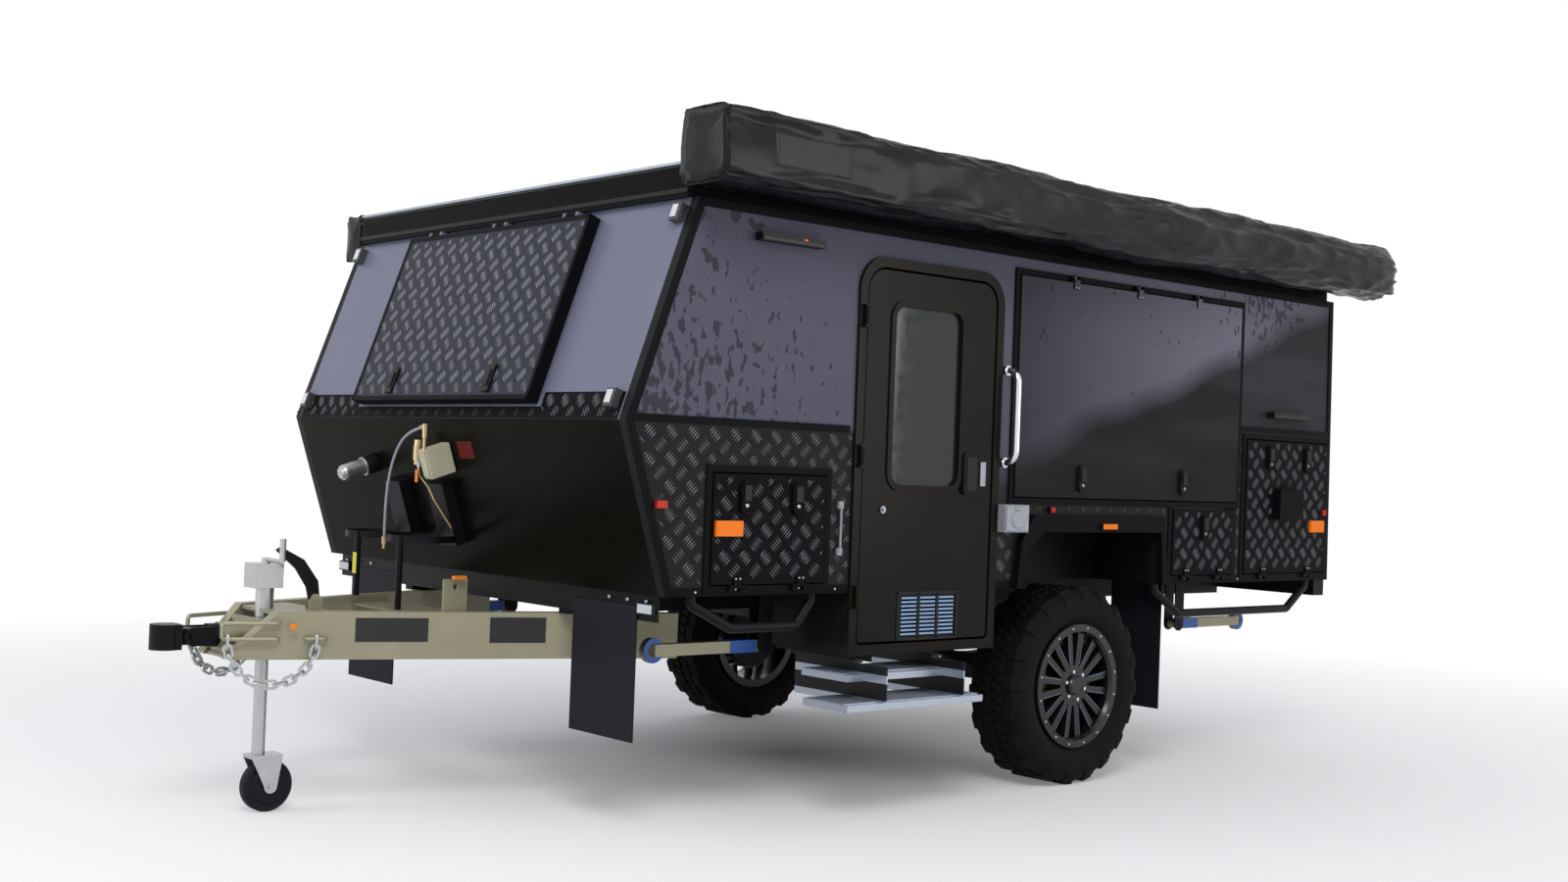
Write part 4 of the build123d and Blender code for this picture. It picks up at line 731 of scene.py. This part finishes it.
# Boxes: piece, material, body, ahead, outwards, above the ground, and on the far side too
side_boxes = (
    ("rear_arch_lens", AMBER_LENS, CHASSIS, (-0.121, -0.033), (0.042, 0.0432), (0.998, 1.018), True),
    ("arch_red_lens", RED_LENS, CHASSIS, (0.232, 0.256), (0.019, 0.0205), (1.060, 1.078), True),
    ("front_bar_lens", BAR_LENS, CHASSIS, (1.482, 1.747), (0.038, 0.0390), (1.925, 1.934), True),
    ("rear_bar_lens", BAR_LENS, CHASSIS, (-1.469, -1.197), (0.038, 0.0390), (1.488, 1.497), False),
    ("bar_mark", AMBER_LENS, CHASSIS, (1.560, 1.575), (0.038, 0.0392), (1.936, 1.944), False),
    ("front_amber_lens", AMBER_LENS, FRONT_LEAF, (1.778, 1.888), (0.012, 0.024), (0.966, 1.016), False),
    ("rear_amber_lens", AMBER_LENS, REAR_LEAF, (-1.635, -1.527), (0.012, 0.024), (0.990, 1.042), False),
    ("rear_red_lens", RED_LENS, REAR_LEAF, (-1.652, -1.628), (0.012, 0.022), (1.066, 1.090), False),
    ("nose_red_lens", RED_LENS, CHASSIS, (2.083, 2.123), (0.005, 0.019), (1.052, 1.076), True),
    ("inlet_flap", GREY_PLASTIC, CHASSIS, (0.418, 0.540), (0.043, 0.049), (0.990, 1.080), False),
    ("door_slot", DULL_CHROME, "door_body", (0.640, 0.668), (0.022, 0.027), (1.150, 1.238), False),
    ("door_latch_well", PLASTIC, "door_body", (0.684, 0.736), (0.022, 0.0245), (1.134, 1.254), False),
)
for name, material, body, ahead, out, height, both in side_boxes:
    piece = Piece(name, material, body)
    for s in (1, -1) if both else (1,):
        piece.box(ahead, beyond(s, *out), height)
    piece.build(bevel=0.0006)

Piece("inlet_cap", GREY_PLASTIC).rod(
    at(0.479, SIDE + 0.049, 1.032), at(0.479, SIDE + 0.054, 1.032), 0.034, 40, 0.031).box(
    (0.463, 0.495), beyond(1, 0.049, 0.055), (1.068, 1.078)).build(bevel=0.0008)

for name, material, ahead, inner, outer, height in (
        ("tail_lenses", RED_LENS, (-1.7822, -1.7800), -0.278, -0.104, (0.716, 0.758)),
        ("front_lenses", WHITE_LENS, (2.064, 2.0652), -0.142, -0.068, (0.716, 0.744))):
    lenses = Piece(name, material)
    for s in (1, -1):
        lenses.box(ahead, beyond(s, inner, outer), height)
    lenses.build()

# Door vent: silver-blue bars between the slots
vent = Piece("vent_bars", SLAT, "door_body")
for column in (-0.094, 0.0, 0.094):
    for row in range(10):
        z = 0.625 + 0.014 * row
        vent.box(span(0.901 + column, 0.038), beyond(1, 0.008, 0.0098), span(z, 0.0034))
vent.build()
vent_frame = Piece("vent_frame", PLASTIC, "door_body")
for z in (0.608, 0.768):
    vent_frame.box((0.750, 1.052), beyond(1, 0.008, 0.0115), span(z, 0.005))
for a in (0.752, 0.854, 0.948, 1.050):
    vent_frame.box(span(a, 0.005), beyond(1, 0.008, 0.0115), (0.608, 0.768))
vent_frame.build()


# Screws and keyholes
def side_screw(piece, ahead, height, out, side, radius=0.0042):
    start = at(ahead, side * out, height)
    piece.rod(start, start + ACROSS * (side * 0.0022), radius, 10, radius * 0.7)


screws = Piece("screws", ZINC)
for s in (1, -1):
    for a in (1.35, 1.50, 1.65, 1.80, 1.95, -1.6, -1.4, -1.2, -1.0, -0.8, -0.6):
        side_screw(screws, a, 0.789, SIDE + 0.005, s)
screws.build()
Piece("door_lock", DULL_CHROME, "door_body").rod(
    at(1.145, SIDE + 0.008, 1.059), at(1.145, SIDE + 0.016, 1.059), 0.013, 20).rod(
    at(1.145, SIDE + 0.016, 1.059), at(1.145, SIDE + 0.022, 1.059), 0.006, 12).build()

for leaf_name, s, ahead, height, (shares, latch_height) in all_leaves:
    keys = Piece(f"{leaf_name}_keyholes", DULL_CHROME, f"{leaf_name}_body")
    paddles = Piece(f"{leaf_name}_paddles", PLASTIC, f"{leaf_name}_body")
    for share in shares:
        a = ahead[0] + share * (ahead[1] - ahead[0])
        side_screw(keys, a, latch_height - 0.026, SIDE + 0.024, s, 0.0075)
        paddles.box(span(a, 0.015), beyond(s, 0.024, 0.0285), (latch_height - 0.012, latch_height + 0.040))
    keys.build()
    paddles.build(bevel=0.001)

# Blank plates on the drawbar beam's outer face
beam_slope = (BEAM_REAR[1] - BEAM_FRONT[1]) / (BEAM_FRONT[0] - BEAM_REAR[0])
beam_along = Vector((1, -beam_slope, 0)).normalized()
plates = Piece("blank_plates", LABEL)
for ahead, width, height in ((2.555, 0.235, 0.078), (2.165, 0.190, 0.085)):
    y = BEAM_FRONT[1] + (BEAM_FRONT[0] - ahead) * beam_slope
    plates.plate(at(ahead, y, 0.613), -beam_along, UP, width, height, 0.0012)
plates.build()

# Tread strip under and beside the window cover, and the cover's latches and rim
STRIP_ROW = 0.0205
STRIP_THICKNESS = 0.0022
strip = Piece("nose_strip", TREAD)
strip_areas = (((-1.068, -0.625), (0.664, 0.7555)), ((0.625, 1.068), (0.664, 0.7555)),
               ((-0.625, 0.625), (0.714, 0.7555)))
for y, down in strip_areas:
    strip.plate(on_front(sum(down) / 2, sum(y) / 2), ACROSS, -slope_down,
                y[1] - y[0], down[1] - down[0], STRIP_THICKNESS)
strip.build()
for number, (y, down) in enumerate(strip_areas):
    width, length = y[1] - y[0], down[1] - down[0]
    tread_bars(f"nose_strip_bars_{number}", CHASSIS, on_front(down[1] - STRIP_ROW, y[0], STRIP_THICKNESS),
               ACROSS, -slope_down, slope_out, on_slope(width, length, 0.003, STRIP_ROW), width, length)

cover_latches = Piece("cover_latches", PLASTIC, COVER)
for y in (-0.33, 0.33):
    spot = on_front(0.630, y, COVER_OUT)
    cover_latches.plate(spot, ACROSS, -slope_down, 0.046, 0.100, 0.012)
    cover_latches.plate(spot + slope_out * 0.012, ACROSS, -slope_down, 0.026, 0.060, 0.005)
cover_latches.build(bevel=0.003)
cover_rim = Piece("cover_rim", TRIM, COVER)
for down, y, width, length in ((0.371, -0.592, 0.016, COVER_LENGTH), (0.371, 0.592, 0.016, COVER_LENGTH),
                               (0.044, 0.0, COVER_WIDTH, 0.016), (0.698, 0.0, COVER_WIDTH, 0.016)):
    cover_rim.plate(on_front(down, y, COVER_OUT), ACROSS, -slope_down, width, length, 0.0025)
cover_rim.build()

# Blank plate on the nose and clip on the drawbar
nose_knee = at(NOSE_KNEE[0], 0, NOSE_KNEE[1])
nose_down = (at(NOSE_FOOT[0], 0, NOSE_FOOT[1]) - nose_knee).normalized()
nose_out = Vector((-nose_down.z, 0, nose_down.x))
Piece("blank_red_plate", DULL_RED).plate(
    nose_knee + ACROSS * 0.13 + nose_down * 0.115, ACROSS, -nose_down, 0.100, 0.062, 0.0012).build()
Piece("orange_clip", ORANGE).box((2.330, 2.380), (0.362, 0.380), (0.7805, 0.7925)).build(bevel=0.003)

# Treads of the step: ribs along each tread
RIB_PITCH = 0.018
ribs = Piece("step_ribs", ALUMINIUM, "step_body")
for ahead, y, height in (((0.745, 1.305), (0.930, 1.145), 0.500), ((0.745, 1.395), (1.040, 1.245), 0.415)):
    for i in range(int((y[1] - y[0]) / RIB_PITCH)):
        edge = y[0] + i * RIB_PITCH
        ribs.box(ahead, (edge, edge + 0.009), (height, height + 0.003))
ribs.build()

# Handle feet and the jockey stand's crank
feet = Piece("handle_feet", CHROME)
for height in (1.240, 1.580):
    feet.rod(at(0.518, SIDE, height), at(0.518, SIDE + 0.012, height), 0.024, 24, 0.019)
feet.build()
Piece("jockey_crank", ZINC).rod(at(2.862, 0, 0.815), at(2.862, 0, 0.832), 0.014, 20).rod(
    at(2.862, 0, 0.826), at(2.862, 0.120, 0.826), 0.007, 12).rod(
    at(2.862, 0.120, 0.826), at(2.862, 0.120, 0.900), 0.010, 16).build()

# Gas hose: the route of the part's source as control points
hose_data = bpy.data.curves.new("grey_hose", "CURVE")
hose_data.dimensions = "3D"
line = hose_data.splines.new("NURBS")
hose_route = [(2.310, y, height) for y, height in (
    (0.001, 1.283), (-0.101, 1.265), (-0.179, 1.191), (-0.221, 1.092), (-0.233, 0.986), (-0.232, 0.889))]
line.points.add(len(hose_route) - 1)
for point, spot in zip(line.points, hose_route):
    point.co = (*at(*spot), 1.0)
line.order_u = 3
line.use_endpoint_u = True
hose_data.bevel_depth = 0.005
hose_data.bevel_resolution = 4
hose_data.use_fill_caps = True
hose_data.materials.append(HOSE)
hose = new_object("grey_hose", hose_data)
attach(hose, CHASSIS)
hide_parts("gas_hose")
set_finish(hose, "hose_rubber")
hose_end = Piece("hose_end", BRASS).rod(at(2.310, -0.232, 0.889), at(2.310, -0.232, 0.862), 0.0085, 6).rod(
    at(2.310, -0.232, 0.862), at(2.310, -0.232, 0.846), 0.0055, 16).build()


# Canister, box, regulator and taps on the lower front wall
def off_nose(y, height, out):
    """Point off the lower front wall's face."""
    return at(nose_edge(height), y, height) + nose_out * out


def nose_rods(name, material, y, height, sides, bevel, *rows):
    """Round fitting off the lower front wall. Rows: near, to, radius, far radius."""
    piece = Piece(name, material)
    for near, to, radius, far_radius in rows:
        piece.rod(off_nose(y, height, near), off_nose(y, height, to), radius, sides, far_radius)
    return piece.build(bevel)


fittings = [
    nose_rods("silver_canister", ZINC, -0.550, 1.151, 40, 0.001, (0.046, 0.052, 0.0345, 0.0355),
              (0.052, 0.132, 0.0300, 0.0300), (0.132, 0.142, 0.0300, 0.0275), (0.142, 0.150, 0.0240, 0.0200)),
    nose_rods("canister_base", PLASTIC, -0.550, 1.151, 40, 0.001, (0.002, 0.040, 0.036, 0.036),
              (0.040, 0.046, 0.0325, 0.0325)),
    Piece("beige_box", BEIGE).plate(
        off_nose(0.012, 1.185, 0.003), ACROSS, -nose_down, 0.052, 0.108, 0.098).plate(
        off_nose(0.012, 1.185, 0.101), ACROSS, -nose_down, 0.040, 0.090, 0.006).build(bevel=0.004),
    nose_rods("regulator", ZINC, -0.036, 1.186, 36, 0.0, (0.003, 0.030, 0.020, 0.020),
              (0.030, 0.048, 0.040, 0.046), (0.048, 0.058, 0.046, 0.046), (0.058, 0.078, 0.044, 0.026),
              (0.078, 0.104, 0.014, 0.012)),
]
taps = Piece("brass_taps", BRASS)
elbow = at(*hose_route[0])
away = (elbow - at(*hose_route[1])).normalized()
taps.rod(elbow, elbow + away * 0.012, 0.0088, 6).rod(elbow + away * 0.012, elbow + away * 0.032, 0.0068, 20)
stem = elbow + away * 0.026
taps.rod(stem + UP * 0.008, stem - UP * 0.040, 0.0085, 6).rod(stem - UP * 0.040, stem - UP * 0.094, 0.0065, 20)
for low, high, *sizes in ((1.152, 1.168, 0.013, 6), (1.168, 1.222, 0.0175, 24), (1.222, 1.240, 0.015, 8)):
    taps.rod(at(2.262, -0.100, low), at(2.262, -0.100, high), *sizes)
taps.rod(at(2.262, -0.100, 1.200), at(2.262, -0.060, 1.200), 0.0078, 6)
fittings.append(taps.build())
for made in fittings:
    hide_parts("gas_fittings")
pipe = Piece("gas_pipe", BRASS)
pipe_route = [at(*place) for place in (
    (2.262, -0.100, 1.152), (2.256, -0.088, 1.110), (2.238, -0.060, 1.075), (2.222, -0.045, 1.030),
    (2.190, -0.030, 0.975), (2.160, -0.020, 0.930))]
for start, end in zip(pipe_route, pipe_route[1:]):
    pipe.rod(start, end, 0.0035, 10)
pipe.build()
for name, material, place, *sizes in (
        ("orange_tag", ORANGE, (2.268, -0.092, 1.112), 0.018, 0.044, 0.0025),
        ("yellow_tag", YELLOW, (2.375, -0.322, 0.790), 0.026, 0.075, 0.0020)):
    Piece(name, material).plate(at(*place), ACROSS, UP, *sizes).build(bevel=0.0008)

# Pale strip along the roof's front edge, a painted highlight line on that edge, and the seal under it
Piece("roof_highlight_strip", ALUMINIUM, ROOF).box(
    (2.0102, 2.0135), (-1.070, 1.070), (2.140, 2.149)).build(bevel=0.0008)
Piece("roof_seal", PLASTIC, ROOF).box(
    (2.0102, 2.0125), (-1.075, 1.075), (2.048, 2.062)).build()


def washer(piece, centre, inner, outer, thickness, sides=40):
    """Flat ring across the trailer."""
    points = []
    for i in range(sides):
        turn = 2 * math.pi * i / sides
        spoke = Vector((math.cos(turn), 0, math.sin(turn)))
        for radius, depth in ((inner, 0), (outer, 0), (outer, thickness), (inner, thickness)):
            points.append(centre + spoke * radius + ACROSS * depth)
    piece.add(points, [(a, d, c, b) for a, b, c, d in ring_faces(sides, 4, closed=True)])


for end, pivot, foot in (("front", 1.411, 1.881), ("rear", -0.980, -1.450)):
    for side, s in (("left", 1), ("right", -1)):
        steady = f"steady_{end}_{side}"
        rings = Piece(f"{steady}_blue_ring", BLUE, f"{steady}_body")
        for depth in (0.0102, -0.0132):
            washer(rings, at(foot, s * STEADY_ACROSS + depth, 0.572), 0.024, 0.0415, 0.003)
        arm = sorted(pivot + math.copysign(reach, foot - pivot) for reach in (0.034, 0.150))
        rings.box(arm, span(s * STEADY_ACROSS, 0.0215), (0.5505, 0.5935))
        rings.build(bevel=0.0006)

# Tag at the chains' rear eyes
Piece("chain_tag", ORANGE).plate(
    at(2.862, 0.222, 0.626), beam_along, UP, 0.022, 0.018, 0.0030).build(bevel=0.0008)

# Pleated canvas between the walls and the lifting roof, folded inside the roof when it is down
CANVAS_FOLDS, CANVAS_DEPTH, CANVAS_STEPS = 16, 0.025, 12
canvas_low, canvas_high = 2.0345, 2.1020
# Rows: rearmost and foremost place, half width, height
canvas_rows = [(-1.664, 1.950, 1.073, 2.015), (-1.644, 1.946, 1.045, 2.031)]
for fold in range(CANVAS_FOLDS + 1):
    inset = 0.002 + CANVAS_DEPTH * (fold % 2)
    height = canvas_low + (canvas_high - canvas_low) * fold / CANVAS_FOLDS
    canvas_rows.append((-1.644 + inset, 1.946 - inset, 1.045 - inset, height))
canvas_points = []
for rear, front, half, height in canvas_rows:
    corners = [at(a, y, height) for a, y in ((rear, -half), (front, -half), (front, half), (rear, half))]
    for first, second in zip(corners, corners[1:] + corners[:1]):
        canvas_points += [first.lerp(second, step / CANVAS_STEPS) for step in range(CANVAS_STEPS)]
canvas_faces = ring_faces(len(canvas_rows), 4 * CANVAS_STEPS)
canvas = Piece("roof_canvas", CANVAS, None).add(canvas_points, canvas_faces).build()
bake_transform(canvas)
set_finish(canvas, "awning_vinyl")

# Bare sewn patch on the long bag's side
bag_tree = BVHTree.FromObject(long_bag, bpy.context.evaluated_depsgraph_get())
patch_points = []
columns, rows = 16, 10
for j in range(rows + 1):
    for i in range(columns + 1):
        start = at(1.560 + 0.330 * i / columns, 1.50, 2.120 + 0.105 * j / rows)
        patch_points.append(bag_tree.ray_cast(start, -ACROSS)[0] + ACROSS * 0.0012)
wide = columns + 1
patch_faces = [(j * wide + i, (j + 1) * wide + i, (j + 1) * wide + i + 1, j * wide + i + 1)
               for j in range(rows) for i in range(columns)]
patch = Piece("bag_patch", LABEL, ROOF, smooth=True).add(patch_points, patch_faces).build()
thickness = patch.modifiers.new("thickness", "SOLIDIFY")
thickness.thickness = 0.002
thickness.offset = -1.0

# Bright tongues on the slope's catches
tongues = Piece("catch_tongues", CHROME)
for y, down in ((1.050, 0.060), (-1.050, 0.060), (1.030, 0.692), (-1.030, 0.692)):
    tongues.plate(on_front(down, y, 0.030), ACROSS, -slope_down, 0.030, 0.044, 0.005)
tongues.build(bevel=0.0015)

# Screws in the hinge straps of the leaves
for leaf_name, s, ahead, height, _ in all_leaves:
    inset = 0.22 * (ahead[1] - ahead[0])
    middles = [ahead[0] + inset, ahead[1] - inset]
    leaf_line, frame_line = height[0] + 0.018, height[0] - 0.016
    if leaf_name == "galley_hatch":
        middles.append(sum(ahead) / 2)
        leaf_line, frame_line = height[1] - 0.018, height[1] + 0.019
    for part, body, line, out, shifts in (
            ("hinge", f"{leaf_name}_body", leaf_line, 0.019, (-0.009, 0.009)),
            ("frame", CHASSIS, frame_line, 0.008, (-0.027, 0.0, 0.027))):
        screws = Piece(f"{leaf_name}_{part}_screws", DULL_CHROME, body)
        for a in middles:
            for shift in shifts:
                side_screw(screws, a + shift, line, SIDE + out, s, 0.0045)
        screws.build()

# Bolts along the tops of the mudflaps
flap_bolts = Piece("flap_bolts", ZINC)
flap_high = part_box("mudflaps")[1]
for y in (0.80, 0.90, 1.00, -0.80, -0.90, -1.00):
    start = Vector((flap_high[0], y, flap_high[2] - 0.022))
    flap_bolts.rod(start, start + ALONG * 0.003, 0.0065, 12, 0.005)
flap_bolts.build()

# Blank plate on the rear wall
rear_tree = BVHTree.FromObject(nodes["rear_wall"], bpy.context.evaluated_depsgraph_get())
rear_spot, rear_normal, _, _ = rear_tree.ray_cast(at(-2.4, 0.78, 1.000), ALONG)
Piece("rear_plate", LABEL).plate(
    rear_spot - rear_normal * 0.0005, -ACROSS, UP, 0.372, 0.134, 0.003).build(bevel=0.001)

# New pieces without a slot take one by their material, where that material is listed here
slot_materials = (
    ("tread_plate", (TREAD_EDGE, COVER_HIGHLIGHT_BARS, COVER_REFLECTION_PLATE, TREAD)), ("black_trim", (TRIM,)),
    ("awning_vinyl", (VINYL,)), ("fitting_plastic", (PLASTIC, GREY_PLASTIC, LABEL, ORANGE, YELLOW)),
    ("step_aluminium", (ALUMINIUM, SLAT)), ("bright_chrome", (CHROME, DULL_CHROME)),
    ("black_alloy", (ALLOY, MILLED)), ("lamp_lens", (AMBER_LENS, RED_LENS, WHITE_LENS, BAR_LENS)),
    ("zinc_chain", (ZINC,)), ("gas_metal", (BRASS, BEIGE)), ("galvanised", (BLUE,)),
)
slots = {material: slot for slot, materials in slot_materials for material in materials}
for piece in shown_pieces():
    if "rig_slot" not in piece and piece.name not in nodes and piece.data.materials[0] in slots:
        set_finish(piece, slots[piece.data.materials[0]])

# Stage, light and camera
floor_mesh = bpy.data.meshes.new("floor")
floor_corners = [(x, y, -COUPLING_HEIGHT) for x, y in ((-40, -40), (40, -40), (40, 40), (-40, 40))]
floor_mesh.from_pydata(floor_corners, [], [(0, 1, 2, 3)])
floor = new_object("floor", floor_mesh)
nt = new_nodes("pale floor")
floor_mesh.materials.append(nt.shade({
    "Base Color": (0.88, 0.88, 0.88), "Roughness": 0.95, "Specular IOR Level": 0.1}))
# The floor keeps the shadow near the trailer and meets the white background further out
reach = nt.put(nt.new("VectorMath"), {0: nt.coordinates()})
reach.operation = "DISTANCE"
reach.inputs[1].default_value = at(0.5, 0.0, 0.0)
far = nt.ramp(reach.outputs["Value"], 0.0, 6.5)
white = nt.put(nt.new("Emission"), {"Color": (1.0, 1.0, 1.0)})
blended = nt.put(nt.new("MixShader"), {
    "Fac": nt.times(far, nt.background_rays()),
    1: nt.tree.nodes["Principled BSDF"].outputs["BSDF"], 2: white.outputs["Emission"]})
nt.link(blended.outputs["Shader"], nt.tree.nodes["Material Output"].inputs["Surface"])

scene = bpy.context.scene
scene.world = bpy.data.worlds.new("studio")
sky = Nodes(scene.world)
height_share = sky.ramp(sky.axes(sky.coordinates("Generated"))["Z"], -0.1, 0.7)
lit = sky.mix(height_share, (0.32, 0.33, 0.35), (0.54, 0.57, 0.64))
seen = sky.mix(sky.background_rays(), lit, (1.0, 1.0, 1.0))
sky.put(sky.tree.nodes["Background"], {"Strength": 1.0, "Color": seen})

# Lamps: place, what they point at, size, power, colour
for name, place, target, size, power, colour in (
        ("key", (5.5, 5.5, 6.5), (0.6, 0, 1.1), 3.0, 330, (1.0, 0.98, 0.94)),
        ("front fill", (7.5, -1.5, 2.6), (2.0, 0, 1.2), 3.0, 100, (1.0, 1.0, 1.0)),
        ("side fill", (-3.0, 7.5, 2.4), (0.6, 0, 1.1), 3.5, 115, (1.0, 1.0, 1.0))):
    data = bpy.data.lights.new(name, "AREA")
    data.size, data.energy, data.color = size, power, colour
    lamp = new_object(name, data)
    lamp.location = at(*place)
    lamp.rotation_euler = (at(*target) - at(*place)).to_track_quat("-Z", "Y").to_euler()
    lamp.visible_camera = False

camera_data = bpy.data.cameras.new("camera")
camera_data.sensor_width = 36.0
camera_data.lens = 39.86
camera = new_object("camera", camera_data)
# Columns: its right, its up, its back, and its place
camera.matrix_world = Matrix(((-0.7498823, 0.03797622, 0.66048039, 2.1727),
                              (0.66047454, -0.01448742, 0.75070866, 5.3886),
                              (0.03807774, 0.99917362, -0.01421847, 0.6526), (0, 0, 0, 1)))
scene.camera = camera
scene.view_settings.view_transform = "Standard"
